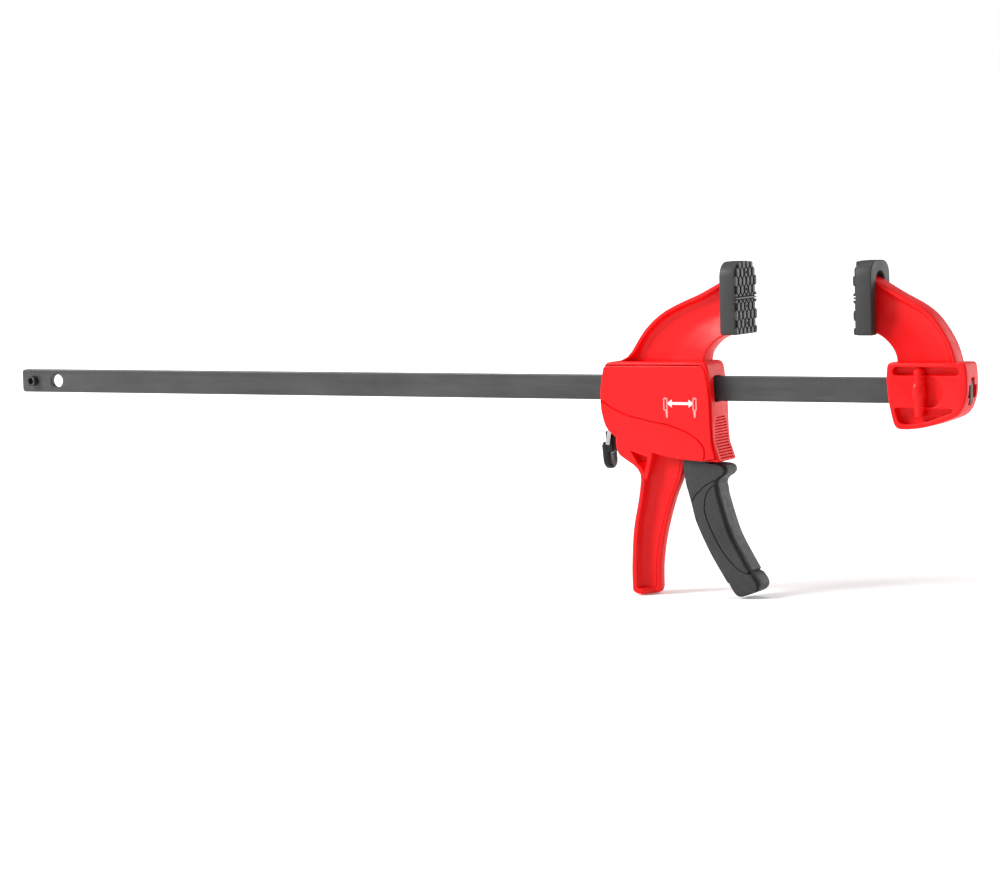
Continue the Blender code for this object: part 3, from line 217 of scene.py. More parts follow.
def block(name, low, high, rounding=0.0, segments=2):
    """A block between two corners, with all its edges rounded."""
    low, high = Vector(low) * MM, Vector(high) * MM
    bpy.ops.mesh.primitive_cube_add(size=1, location=(0, 0, 0))
    piece = named(bpy.context.object, name)
    edit_all(piece)
    bpy.ops.transform.resize(value=high - low)
    bpy.ops.transform.translate(value=(low + high) / 2)
    if rounding:
        bpy.ops.mesh.bevel(offset=rounding * MM, segments=segments, affect="EDGES")
    put_down()
    return piece


def turned(name, profile, place, along="Y", steps=32):
    """A profile of (radius, distance) spun round an axis that passes through the place."""
    axis = "XYZ".index(along)
    side = 2 if along == "X" else 0
    points = []
    for radius, reach in profile:
        point = list(place)
        point[axis] += reach
        point[side] += radius
        points.append(point)
    bpy.ops.mesh.primitive_plane_add(size=MM, location=(0, 0, 0))
    piece = named(bpy.context.object, name)
    edit(piece)
    pick("VERT", lambda v: v.index > 1)
    bpy.ops.mesh.delete(type="VERT")
    slide((0, 1), points[:2])
    for before, point in zip(points[1:], points[2:]):
        pick("VERT", lambda v: (v.co - Vector(before) * MM).length < SAME)
        bpy.ops.mesh.extrude_vertices_move()
        shape = shape_in_hand()
        slide([v.index for v in shape.verts if v.select], (point,))
    select_all()
    spin_axis = [0.0, 0.0, 0.0]
    spin_axis[axis] = 1.0
    bpy.ops.mesh.spin(steps=steps, angle=2 * math.pi, center=Vector(place) * MM, axis=spin_axis)
    select_all()
    bpy.ops.mesh.remove_doubles(threshold=SEAM)
    return faced_out(piece)


def drill(name, place, near, far):
    """A tool for a pin hole along Y."""
    profile = [(0.0, near), (PIN_HOLE, near), (PIN_HOLE, far), (0.0, far)]
    return turned(name, profile, (place[0], 0.0, place[1]))


def copied(piece, name, move=(0.0, 0.0, 0.0)):
    """A copy with a mesh of its own, carried aside."""
    take(piece)
    bpy.ops.object.duplicate(linked=False)
    other = named(bpy.context.object, name)
    edit_all(other)
    bpy.ops.transform.translate(value=Vector(move) * MM)
    put_down()
    return other


def flipped(piece, axis, middle=0.0):
    """Turns a piece into its mirror image across a plane."""
    scale, centre = [1.0, 1.0, 1.0], [0.0, 0.0, 0.0]
    scale[axis], centre[axis] = -1.0, middle * MM
    edit_all(piece)
    bpy.ops.transform.resize(value=scale, center_override=centre)
    return faced_out(piece)


def joined(piece, *others):
    """One piece from several."""
    take(piece)
    for other in others:
        other.select_set(True)
    bpy.ops.object.join()
    return piece


def thrown_away(piece):
    bpy.data.objects.remove(piece, do_unlink=True)


def worked(piece, *tools, way="DIFFERENCE"):
    """Cuts the piece with tools (or unites it with them), and takes the tools away."""
    for tool in tools:
        take(piece)
        change = piece.modifiers.new("work", "BOOLEAN")
        change.operation = way
        change.solver = "MANIFOLD"
        change.object = tool
        bpy.ops.object.modifier_apply(modifier=change.name)
        thrown_away(tool)
    return piece


def finished(piece, look, body, slot, *nodes, angle=30):
    """Gives a piece its finish, its body and the nodes that it stands for."""
    take(piece)
    bpy.ops.object.shade_smooth_by_angle(angle=math.radians(angle))
    piece.data.materials.clear()
    piece.data.materials.append(look)
    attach(piece, body)
    if nodes:
        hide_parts(*nodes)
    return piece


# Curves and sections


def smooth(points, steps=4):
    """A curve through the points, with so many pieces to each stretch."""
    ends = [points[0], *points, points[-1]]
    curve = []
    for i in range(len(points) - 1):
        p0, p1, p2, p3 = (Vector(p) for p in ends[i:i + 4])
        for k in range(steps):
            t = k / steps
            bend = (2 * p0 - 5 * p1 + 4 * p2 - p3) * t**2 + (3 * p1 - p0 - 3 * p2 + p3) * t**3
            curve.append(tuple((2 * p1 + (p2 - p0) * t + bend) / 2))
    return curve + [tuple(points[-1])]


def evened(points, count):
    """The same curve through so many points, evenly spaced."""
    lengths = [(Vector(b) - Vector(a)).length for a, b in zip(points, points[1:])]
    found = []
    for k in range(count):
        left = sum(lengths) * (k / (count - 1))
        i = 0
        while i < len(lengths) - 1 and left > lengths[i]:
            left -= lengths[i]
            i += 1
        found.append(tuple(Vector(points[i]).lerp(Vector(points[i + 1]), left / lengths[i])))
    return found


def arc(centre, radius, start, end, steps):
    """Points along an arc, from one direction to another in degrees."""
    turns = [math.radians(start + (end - start) * k / steps) for k in range(steps + 1)]
    return [(centre[0] + radius * math.cos(a), centre[1] + radius * math.sin(a)) for a in turns]


def rounded_box(low, high, radii, steps=6):
    """An upright box, its corners' radii given from the low left one round by the low right."""
    a, b, c, d = radii
    outline = arc((low[0] + a, low[1] + a), a, 180, 270, steps)
    outline += arc((high[0] - b, low[1] + b), b, 270, 360, steps)
    outline += arc((high[0] - c, high[1] - c), c, 0, 90, steps)
    return outline + arc((low[0] + d, high[1] - d), d, 90, 180, steps)


def grown(outline, by):
    """A closed outline grown outwards, or shrunk where by is below 0."""
    area = sum(a[0] * b[1] - a[1] * b[0] for a, b in zip(outline, outline[1:] + outline[:1]))
    way = 1 if area > 0 else -1
    found = []
    for i, point in enumerate(outline):
        before, after = Vector(outline[i - 1]), Vector(outline[(i + 1) % len(outline)])
        first = (Vector(point) - before).normalized()
        second = (after - Vector(point)).normalized()
        lean = Vector((first.y + second.y, -first.x - second.x))
        if lean.length < 1e-6:
            found.append(tuple(point))
            continue
        lean.normalize()
        stretch = max(0.6, lean.dot(Vector((first.y, -first.x))))
        found.append(tuple(Vector(point) + lean * way * by / stretch))
    return found


def both_sides(half):
    """A ring from half of it: along the near side, and back along the far side."""
    near = [(x, -out, z) for x, out, z in half]
    return near + [(x, out, z) for x, out, z in reversed(half)]


def ring_round(back, front, rear, middle, fore):
    """A ring round a form between two places of the side view.

    Each corner is (way in, half width): from the back, by a rule for this width, from the front.
    """
    back, front = Vector(back), Vector(front)
    width = (front - back).length
    half = []
    for way, out in [*rear, *middle(width), *((width - way, out) for way, out in fore)]:
        spot = back.lerp(front, way / width)
        half.append((spot.x, out, spot.y))
    return both_sides(half)


def dip(name, outline, surface, floor, mouth=0.5, soft=0.8):
    """A tool for a pocket with a softened mouth and a rounded floor edge. It works along Y."""
    way = 1 if floor > surface else -1
    depth = abs(floor - surface)
    soft = min(soft, depth - mouth)
    steps = [  # how far the outline has grown at each depth
        (mouth, -1.5), (mouth, 0.0), (mouth * 0.45, mouth * 0.2), (mouth * 0.12, mouth * 0.55),
        (0.0, mouth), (0.0, depth - soft), (-soft * 0.13, depth - soft * 0.5),
        (-soft * 0.5, depth - soft * 0.13), (-soft, depth),
    ]
    rings = [[(x, surface + way * reach, z) for x, z in grown(outline, by)] for by, reach in steps]
    return drawn(name, rings)


def scored(name, path, surface, way, width=0.5, depth=0.35):
    """A tool for a fine line along a path in the side view."""
    section = (
        (-width, -0.5), (width, -0.5), (width / 2, 0.0),
        (width / 5, depth), (-width / 5, depth), (-width / 2, 0.0),
    )
    rings = []
    for i, point in enumerate(path):
        ahead = Vector(path[min(i + 1, len(path) - 1)]) - Vector(path[max(i - 1, 0)])
        across = Vector((-ahead.y, ahead.x)).normalized()
        spots = [(Vector(point) + across * u, reach) for u, reach in section]
        rings.append([(spot.x, surface + way * reach, spot.y) for spot, reach in spots])
    return drawn(name, rings)


# Pads

PAD_HALF_WIDTH, PAD_HALF_HEIGHT = 14.3, 20.95
LAND_HALF_WIDTH, LAND_HALF_HEIGHT = 1.42, 2.95
COLUMN_STEP, ROW_STEP = 2.66, 9.7  # from land to land across and up the face


def pad_outline(margin=0.0):
    reach, top, crown = PAD_HALF_WIDTH - margin, PAD_HALF_HEIGHT - margin, 8.8 - margin
    return rounded_box((-reach, -top), (reach, top), (2.2, 2.2, crown, crown))


def pad_land():
    """One long six-sided land of the gripping face, with soft rims."""
    bpy.ops.mesh.primitive_cylinder_add(
        vertices=6, radius=MM, depth=1.9 * MM, location=(0, 0, 0), rotation=(0, math.pi / 2, 0)
    )
    land = bpy.context.object
    bpy.ops.object.transform_apply(location=False, rotation=True, scale=True)
    edit_all(land)
    bpy.ops.transform.rotate(value=math.pi / 2, orient_axis="X", center_override=(0, 0, 0))
    shape = shape_in_hand()
    wide = LAND_HALF_WIDTH / (max(v.co.y for v in shape.verts) / MM)
    tall = LAND_HALF_HEIGHT / (max(v.co.z for v in shape.verts) / MM)
    bpy.ops.transform.resize(value=(1.0, wide, tall), center_override=(0, 0, 0))
    pick("FACE", lambda f: f.normal.x < -0.999)
    bpy.ops.mesh.region_to_loop()
    bpy.ops.mesh.bevel(offset=0.24 * MM, segments=2, affect="EDGES")
    put_down()
    return land


def make_pad_face(name):
    """The staggered lands of one pad, trimmed to its outline, with a plain band across them."""
    land = pad_land()
    lands = []
    for column in range(-5, 6):
        for row in range(-3, 3):
            z = row * ROW_STEP + (0.0 if column % 2 else 4.85)
            if abs(z) < 22:
                spot = (0.95, column * COLUMN_STEP, z)
                lands.append(copied(land, f"land_{column}_{row}", spot))
    face = named(joined(lands[0], *lands[1:]), name)
    thrown_away(land)
    worked(face, board("trim", pad_outline(0.15), -2.0, 2.0, along="X"), way="INTERSECT")
    gap = block("gap", (-2.0, -20.0, -1.2), (2.0, 20.0, 1.2))
    bowl = [(0.0, -0.6), (0.95, -0.6), (0.95, 0.5), (0.7, 0.9), (0.0, 0.95)]
    heights = (-14.55, -4.85, 4.85, 14.55)
    dimples = [turned(f"dimple_{z}", bowl, (0.0, 0.0, z), "X", 20) for z in heights]
    return worked(face, gap, *dimples)


def make_pad(name, face):
    """The fixed jaw's rubber cap: its soft-rimmed body, its face, and the arm's way in behind."""
    pad = board("body", pad_outline(), 1.25, 10.8, 0.8, "X")
    neck = [(-6.9, -30.0), (6.9, -30.0), *arc((0.0, 8.2), 6.7, 0, 180, 16)]
    rings = []
    for by, x in ((0.6, 12.0), (0.6, 10.8), (0.18, 10.55), (0.0, 10.2), (0.0, 7.1)):
        rings.append([(x, y, z) for y, z in grown(neck, by)])
    worked(pad, drawn("neck", rings))
    band = block("band", (0.0, -13.9, -0.5), (1.6, 13.9, 0.5), 0.15)
    return named(joined(pad, face, band), name)


# Jaw arms

FIXED_BACK = [
    (5.85, 12.8), (13.0, 8.8), (24.0, 2.4), (36.2, -4.0), (44.2, -10.2), (50.6, -18.6),
    (55.3, -27.4), (57.9, -36.2),
]
FIXED_THROAT = [
    (5.85, -19.05), (11.0, -20.5), (15.7, -23.5), (19.8, -28.0), (21.8, -32.0), (22.6, -36.2),
]
MOVING_BACK = [
    (-77.4, 13.3), (-87.4, 8.1), (-98.6, 2.4), (-110.6, -2.5), (-122.7, -8.5), (-133.3, -17.3),
    (-140.5, -27.2), (-145.1, -33.6), (-150.6, -36.4),
]
MOVING_THROAT = [
    (-77.4, -19.8), (-82.6, -21.4), (-88.5, -24.3), (-92.8, -28.2), (-95.3, -31.8), (-96.4, -36.4),
]
ARM_ROOT = 0.9  # how far an arm runs on down into what carries it


ARM_REAR = (
    (0.0, 5.4), (0.3, 6.15), (0.9, 6.6), (1.9, 6.6), (2.35, 6.45), (2.7, 5.9), (2.95, 4.8),
    (3.3, 3.7), (4.0, 2.9), (5.2, 2.35), (7.0, 2.15),
)
ARM_FORE = ((2.2, 5.85), (1.4, 6.35), (0.9, 6.5), (0.3, 6.1), (0.0, 5.4))


def arm_slope(w):
    """The arm's web, and the slope from it up to the throat rim."""
    return (w * 0.42, 2.1), (w * 0.52, 2.25), (w * 0.62, 2.9), (w * 0.81 - 1.1, 4.45)


def make_arm(name, back, throat, tip):
    """An arm from inside its pad down into what carries it, with the plate at its tip."""
    sections = list(zip(evened(smooth(back), 20), evened(smooth(throat), 20)))
    sections.append(tuple((x, z - ARM_ROOT) for x, z in sections[-1]))
    arm = drawn(name, [ring_round(*pair, ARM_REAR, arm_slope, ARM_FORE) for pair in sections])
    plate = rounded_box((-11.0, -17.25), (11.0, 17.25), (5.0,) * 4)
    return joined(arm, board(name + "_tip", plate, *tip, 0.6, "X", 2))


# Housing of the moving jaw

HOUSING_TOP = [
    (-95.5, -36.45), (-110.0, -36.5), (-125.0, -36.55), (-140.0, -36.6), (-154.0, -36.75),
]
HOUSING_BACK = smooth([
    (-156.6, -37.3), (-158.5, -39.4), (-159.5, -43.0), (-160.6, -49.0), (-161.35, -56.2),
    (-160.8, -65.6), (-158.4, -74.0), (-155.5, -77.9),
])
HOUSING_BOTTOM = smooth([
    (-150.1, -81.8), (-139.8, -86.3), (-128.9, -89.3), (-119.3, -91.7), (-107.8, -93.2),
    (-96.5, -93.9), (-89.5, -94.1),
], 3)
HOUSING_FRONT = smooth([
    (-86.6, -94.2), (-85.6, -93.4), (-85.9, -92.1), (-87.6, -87.0), (-89.0, -82.5),
    (-89.6, -70.9), (-89.9, -58.0), (-90.6, -49.5), (-91.4, -44.0), (-91.7, -41.0),
    (-92.4, -38.6), (-93.6, -37.1),
])
HOUSING = HOUSING_TOP + HOUSING_BACK + HOUSING_BOTTOM + HOUSING_FRONT

# The covers leave the frame's lip free along the housing's top and front
COVER_FRONT = smooth([
    (-87.8, -92.4), (-89.3, -88.0), (-90.4, -82.5), (-91.0, -70.9), (-91.4, -58.0),
    (-92.2, -49.5), (-93.1, -44.0),
])
COVER = [
    *[(x, z) for x, z in HOUSING if x < -155.0 and -78.5 < z < -39.6 or z < -77.0 and x < -96.4],
    *COVER_FRONT,
    *arc((-97.2, -42.3), 3.6, 10, 90, 6),
    (-110.0, -38.7), (-125.0, -38.75), (-140.0, -38.8), (-154.5, -38.9), (-157.6, -39.1),
]
STEP_LINE = smooth([
    (-162.0, -58.2), (-159.2, -60.1), (-154.8, -62.9), (-148.5, -66.0), (-141.3, -68.4),
    (-128.5, -71.2), (-121.5, -72.3), (-115.7, -73.6), (-105.5, -77.3), (-99.0, -81.4),
    (-95.6, -85.6), (-94.9, -89.0), (-95.2, -93.0),
])
BED = 9.6  # floor of the beds that the covers lie in

GROOVE_STEP = 1.66
GROOVE_REACHES = (1.0,) * 10 + (0.98, 0.94, 0.88, 0.79, 0.65)  # shorter towards the top


def make_cover(name):
    """The near cover: a plate with rounded rims and the fine curved step across it."""
    cover = board(name, COVER, -COVER_UNDERSIDE, -COVER_FACE, 0.75, rims=(-1,))
    return worked(cover, scored("step_line", STEP_LINE, -COVER_FACE, 1, 1.05, 1.3))


def make_housing():
    """The frame between the covers, with its lip, its beds and its hollows."""
    housing = board("housing", HOUSING, -COVER_FACE, COVER_FACE, 1.3, segments=4)
    far_edge = [(x + 0.45 + 0.5 * min(1.0, (-44.0 - z) / 12.0), z) for x, z in COVER_FRONT]
    for side in (-1, 1):
        worked(housing, board("bed", grown(COVER, 0.42), side * BED, side * PAST))
        worked(housing, board("front_gap", COVER_FRONT + far_edge[::-1], side * BED, side * PAST))
    rings = []
    for reach, x in (
        (7.2, -86.0), (6.9, -90.5), (4.8, -91.3), (4.2, -92.4), (4.0, -95.0), (4.0, -146.0)
    ):
        low, high = (-reach, BAR_Z - 7.5), (reach, BAR_Z + 7.6)
        rings.append([(x, y, z) for y, z in rounded_box(low, high, (0.7, 0.7, 0.9, 0.9), 4)])
    slit = block("slit", (-170.0, -2.5, BAR_Z - 7.6), (-140.0, 2.5, BAR_Z + 7.6))
    well = block("well", (-124.4, -9.2, -100.0), (-95.8, 9.2, -56.0), 0.8)
    window = block("window", (-170.0, -6.8, -84.0), (-151.6, 6.8, -63.3), 0.8)
    room = block("room", (-159.0, -8.0, -76.0), (-147.6, 8.0, -41.0), 0.8)
    foot_line = block("foot_line", (-153.0, -7.25, -37.5), (-95.3, 7.25, -36.0))
    return worked(housing, drawn("mouth", rings), slit, well, window, room, foot_line)


def front_x(z):
    """Where the housing's front face lies at a height."""
    for (x, low), (next_x, high) in zip(HOUSING_FRONT, HOUSING_FRONT[1:]):
        if min(low, high) <= z <= max(low, high):
            return x + (next_x - x) * (z - low) / (high - low)


def make_grip_grooves():
    """Tools for the fine grooves across the housing's front. The ribs stand between them."""
    profile = [
        (-1.15, 0.0), (-1.0, -0.22), (0.0, -0.42), (1.0, -0.5), (1.0, 0.5), (0.0, 0.42),
        (-1.0, 0.22),
    ]
    one = board("groove", profile, -8.9, 8.9)
    grooves = []
    for k, reach in enumerate(GROOVE_REACHES):
        z = -92.2 + k * GROOVE_STEP
        groove = copied(one, f"groove_{k}", (front_x(z), 0.0, z))
        edit_all(groove)
        bpy.ops.transform.resize(value=(1.0, reach, 1.0), center_override=(0, 0, 0))
        put_down()
        grooves.append(groove)
    thrown_away(one)
    return grooves


# Handle

HANDLE_BACK = smooth([
    (-151.8, -77.5), (-152.2, -84.2), (-150.8, -90.3), (-146.0, -94.0), (-141.2, -97.0),
    (-138.0, -100.2), (-136.6, -103.8), (-137.1, -109.0), (-138.5, -117.9), (-141.9, -134.4),
    (-143.2, -149.8), (-143.6, -160.0), (-143.5, -169.0),
])
TAIL_BACK, GRIP_BACK = HANDLE_BACK[2:16], HANDLE_BACK[16:]
GRIP_FRONT = smooth([
    (-111.0, -86.0), (-111.6, -92.0), (-112.2, -98.0), (-114.4, -105.6), (-117.5, -112.3),
    (-121.4, -123.0), (-125.8, -138.9), (-128.2, -153.7), (-128.6, -162.0), (-128.6, -169.0),
])
TAIL_FRONT = [(-132.4, -105.5), (-130.2, -97.0), (-128.8, -92.0), (-128.4, -86.0)]
TAIL_FACE = 10.96
WEB_ROOT = [(-136.0, -99.0), (-121.0, -96.4), (-119.0, -92.0), (-118.4, -86.0), (-136.0, -84.0)]
GUSSET = [(-142.8, -88.7), (-131.6, -92.2), (-132.8, -97.0), (-134.7, -102.2), (-138.4, -95.7)]
SOLE = (  # share of the way from back to front, and half width there
    (0.0, 9.9), (0.02, 10.65), (0.07, 11.0), (0.16, 11.0), (0.24, 11.0), (0.32, 10.9),
    (0.40, 10.6), (0.47, 10.0), (0.53, 9.1), (0.58, 8.0), (0.63, 6.8), (0.68, 5.6), (0.73, 4.6),
    (0.77, 4.0), (0.81, 3.7), (0.86, 3.55), (0.91, 3.4), (0.955, 2.7), (0.99, 1.6), (1.0, 0.5),
)
SOLES = (  # back, front, height and inset of each ring round the foot
    (-143.5, -128.6, -169.5, 0.0), (-143.2, -128.8, -170.6, 0.0), (-142.4, -129.3, -171.8, 0.3),
    (-141.2, -130.4, -172.6, 0.9), (-140.2, -131.7, -172.88, 1.8),
)


GRIP_REAR = (  # the wide round back, and the broad hollow down to the web
    (0.0, 9.9), (0.3, 10.65), (1.0, 11.0), (2.3, 11.0), (2.9, 10.7), (3.3, 10.0), (3.8, 8.4),
    (4.6, 6.7), (5.8, 5.3), (7.4, 4.2), (9.2, 3.65),
)
GRIP_FORE = (  # the web's bead line and its round front
    (2.9, 3.5), (2.6, 3.1), (2.2, 3.05), (1.9, 3.5), (1.1, 3.45), (0.5, 3.15), (0.12, 2.4),
    (0.0, 1.3),
)


def sole_section(back, front, z, inset):
    """A ring round the handle's foot, wide at the back and narrowing to the web's front."""
    length = front - back
    middle = back + length / 2
    half = []
    for share, out in SOLE:
        x = back + share * length
        half.append((x + (middle - x) * inset / length * 2, out - min(inset, out * 0.5), z))
    return both_sides(half)


def make_handle():
    """The handle with its foot, and the tail that carries it up into the housing."""
    pairs = zip(evened(GRIP_BACK, 22), evened(GRIP_FRONT, 22))
    rings = [
        ring_round(*pair, GRIP_REAR, lambda width: [(max(width - 3.6, 9.5), 3.5)], GRIP_FORE)
        for pair in pairs
    ]
    handle = drawn("handle", rings + [sole_section(*sole) for sole in SOLES])
    tail_back = TAIL_BACK + [(x + 0.1, z) for x, z in GRIP_BACK[:10]]
    tail = board("tail", tail_back + TAIL_FRONT, -TAIL_FACE, TAIL_FACE, 0.9)
    web_root = board("web_root", WEB_ROOT, -3.45, 3.45)
    for side in (-1, 1):
        worked(tail, dip("gusset", GUSSET, side * 11.0, side * 4.2, 0.4, 1.4))
        worked(tail, board("trim", grown(HOUSING, 0.15), side * 9.3, side * PAST))
    return joined(handle, tail, web_root)


# Trigger

TRIGGER_FACE = 8.0
TRIGGER_TOP = [  # pairs of places at its back and its front
    ((-107.8, -88.9), (-96.3, -88.9)), ((-110.2, -92.6), (-96.3, -93.0)),
    ((-111.0, -94.7), (-96.2, -95.1)), ((-110.95, -95.9), (-86.0, -95.9)),
    ((-110.8, -97.2), (-83.6, -96.6)), ((-110.6, -98.8), (-82.5, -98.2)),
    ((-110.3, -100.6), (-82.5, -100.3)), ((-110.0, -102.4), (-83.9, -102.0)),
    ((-109.7, -104.4), (-86.4, -103.5)), ((-109.4, -106.8), (-88.0, -105.1)),
    ((-108.8, -109.2), (-88.6, -107.0)), ((-107.9, -112.0), (-88.0, -109.6)),
]
TRIGGER_BACK = [
    (-106.6, -116.5), (-105.0, -122.5), (-102.8, -130.4), (-94.9, -146.7), (-86.7, -160.1),
    (-84.2, -164.1),
]
TRIGGER_FRONT = [
    (-87.5, -113.2), (-84.2, -124.5), (-79.9, -136.5), (-73.4, -148.2), (-68.5, -156.4),
]
TRIGGER_FOOT = [
    ((-83.0, -164.9), (-69.2, -157.6)), ((-82.7, -165.4), (-66.9, -158.5)),
    ((-82.2, -166.3), (-65.9, -159.7)), ((-81.2, -168.0), (-64.6, -161.4)),
    ((-80.2, -169.6), (-63.7, -163.0)), ((-79.0, -171.0), (-63.3, -164.8)),
    ((-77.8, -171.8), (-63.8, -166.6)),
]
TRIGGER_SLOT = [
    (-99.6, -60.0), (-99.6, -94.4), (-97.2, -98.6), (-96.0, -103.2), (-93.3, -109.1),
    (-91.7, -113.7), (-88.4, -125.9), (-84.5, -137.5), (-77.9, -149.4), (-73.5, -157.6),
    (-76.6, -164.4), (-92.0, -166.0), (-130.0, -166.0), (-130.0, -60.0),
]
TRIGGER_NECK = [
    (-96.15, -95.2), (-96.15, -66.5), *arc(TRIGGER_PIN, 3.85, 20, 160, 8), (-103.6, -67.5),
    (-103.4, -76.6), *arc((-102.8, -78.5), 2.0, 110, 240, 6), (-103.2, -81.6), (-103.5, -87.2),
    (-106.9, -89.2), (-109.4, -92.4), (-110.4, -95.2),
]
PANEL_LINES = (
    smooth([
        (-105.4, -117.6), (-102.9, -114.0), (-99.9, -111.2), (-96.4, -108.2), (-92.8, -106.1),
        (-89.6, -105.0),
    ]),
    smooth([
        (-90.6, -107.9), (-93.6, -109.8), (-95.9, -113.2), (-97.2, -118.0), (-97.2, -123.6),
        (-94.0, -132.6), (-87.9, -143.9), (-81.1, -152.4), (-75.6, -157.0), (-70.6, -158.7),
    ]),
)


TRIGGER_REAR = ((0.0, 7.1), (0.3, 7.7), (0.9, 8.0))
TRIGGER_FORE = (  # the flute beside the rounded front
    (3.6, 8.0), (2.9, 7.95), (2.4, 7.6), (2.0, 6.8), (1.65, 6.1), (1.3, 6.0), (1.0, 6.3),
    (0.75, 6.75), (0.5, 6.85), (0.3, 6.65), (0.12, 6.1), (0.03, 5.3), (0.0, 4.0), (0.0, 2.0),
)


def trigger_section(back, front, inset=0.0):
    """A ring round the trigger, drawn in where it closes towards its foot."""
    ring = ring_round(
        back, front, TRIGGER_REAR, lambda width: [(width * 0.4, TRIGGER_FACE)], TRIGGER_FORE
    )
    return [(x, y * (TRIGGER_FACE - inset) / TRIGGER_FACE, z) for x, y, z in ring]


def make_trigger():
    """The trigger with its neck, the lines round its raised panel, its slot and its pin hole."""
    sides = list(zip(evened(smooth(TRIGGER_BACK), 14), evened(smooth(TRIGGER_FRONT), 14)))
    rings = [trigger_section(*pair) for pair in TRIGGER_TOP + sides + TRIGGER_FOOT]
    rings.append(trigger_section((-76.6, -172.3), (-65.0, -168.2), inset=0.4))
    rings.append(trigger_section((-75.4, -172.45), (-66.6, -169.2), inset=1.1))
    trigger = drawn("trigger_body", rings)
    worked(trigger, board("neck", TRIGGER_NECK, -7.95, 7.95, 0.6), way="UNION")
    pin_hole = drill("pin_hole", TRIGGER_PIN, -12.0, 12.0)
    for side in (-1, 1):
        for k, line in enumerate(PANEL_LINES):
            worked(trigger, scored(f"line_{k}", line, side * TRIGGER_FACE, -side, 0.7, 0.9))
    return worked(trigger, board("slot", TRIGGER_SLOT, -5.0, 5.0), pin_hole)


# Fixed jaw's head

HEAD = [(62.9, -36.2), (50.0, -36.2), (35.0, -36.2), (19.4, -36.2)]
HEAD += smooth([
    (18.2, -36.8), (17.5, -38.4), (17.1, -42.0), (17.0, -46.5), (18.0, -58.0), (20.3, -68.4),
    (21.4, -71.4), (23.0, -73.1), (25.2, -73.7),
], 3)
HEAD += smooth([
    (29.1, -73.7), (36.0, -73.0), (43.5, -71.4), (54.2, -67.9), (59.2, -65.3), (62.3, -61.2),
    (64.4, -55.0), (65.0, -48.8), (64.8, -42.5), (64.4, -38.6), (63.9, -37.0),
], 3)
LOW_POCKET = smooth([
    (21.7, -62.0), (22.9, -66.6), (24.6, -69.8), (27.0, -70.8), (31.0, -70.7), (37.0, -69.9),
    (43.5, -68.4), (50.5, -66.0),
], 2) + [
    (55.6, -64.0), (56.4, -62.9), (55.6, -61.9), (50.0, -61.6), (36.0, -61.5), (23.4, -61.4),
]
HEAD_POCKETS = (  # outline, floor, softness of the mouth and of the floor's edge
    ("round_pocket", arc((41.7, -52.4), 9.1, -128, 128, 28), 2.8, 0.3, 0.6),
    ("slot", rounded_box((20.9, -43.4), (60.3, -38.6), (2.3,) * 4, 5), 3.2, 0.4, 1.0),
    ("low", LOW_POCKET, 3.0, 0.4, 0.9),
)
RIB = [
    (0.0, -66.5), (2.7, -66.5), (2.9, -64.0), (3.2, -60.0), (3.4, -57.0), (3.4, -48.0),
    (3.2, -44.5), (3.1, -41.8), (2.8, -40.5), (2.1, -39.8), (1.0, -39.5), (0.0, -39.4),
]
BULGE = [
    (0.0, -59.4), (2.4, -58.9), (3.6, -57.4), (4.2, -55.0), (4.3, -52.4), (4.1, -50.0),
    (3.5, -48.0), (2.4, -46.8), (0.0, -46.4),
]


def make_head():
    """The fixed jaw's head: its pockets, the rib with its bulge, and the way in for the bar."""
    head = board("head", HEAD, -HEAD_FACE, HEAD_FACE, 1.2, segments=4)
    pin_hole = drill("pin_hole", JAW_PIN, 4.0, PAST)
    ribs = []
    for side in (-1, 1):
        for name, outline, floor, mouth, soft in HEAD_POCKETS:
            worked(head, dip(name, outline, side * HEAD_FACE, side * floor, mouth, soft))
        rib = turned(f"rib_{side}", RIB, (35.7, side * 6.9, 0.0), "Z", 36)
        bulge = turned("bulge", BULGE, (35.2, side * 6.7, 0.0), "Z", 36)
        ribs.append(worked(rib, bulge, way="UNION"))
        low, high = (34.2, side * 4.0 - 1.5, -66.2), (37.2, side * 4.0 + 1.5, -39.9)
        ribs.append(block(f"rib_web_{side}", low, high))
    far_rib = ribs[2]
    worked(far_rib, pin_hole)
    tall = block("tall", (59.0, -2.5, BAR_Z - 7.7), (70.0, 2.5, BAR_Z + 7.7), 0.3)
    wide = block("wide", (61.4, -5.9, BAR_Z - 3.7), (70.0, 5.9, BAR_Z + 3.7), 0.4)
    slit = block("slit", (10.0, -2.45, BAR_Z - 7.6), (60.0, 2.45, BAR_Z + 7.6))
    worked(head, tall, wide, slit)
    return joined(head, *ribs)


# Release lever, screws, marks and springs

LEVER_LEAN = math.radians(5.0)
LEVER_MIDDLE = (-161.25, 0.0, -93.0)
THUMB_STEPS = ((0.7, -0.12), (0.9, -0.35), (1.2, -0.2))  # inset and depth, towards the middle
SCREW_PLACES = ((-136.8, -42.45), (-136.8, -66.35), (-99.2, -41.75), (-91.6, -88.95))
SCREW = [
    (0.0, 9.8), (2.0, 9.8), (2.15, 10.2), (2.15, 11.0), (1.95, 11.5), (1.5, 11.85), (0.8, 12.0),
    (0.0, 12.02),
]
SCREW_SINK = [(0.0, 10.6), (2.35, 10.6), (2.35, 11.8), (2.75, 12.3), (0.0, 12.3)]
TURN_STEPS, WIRE_SIDES = 20, 8  # of a spring


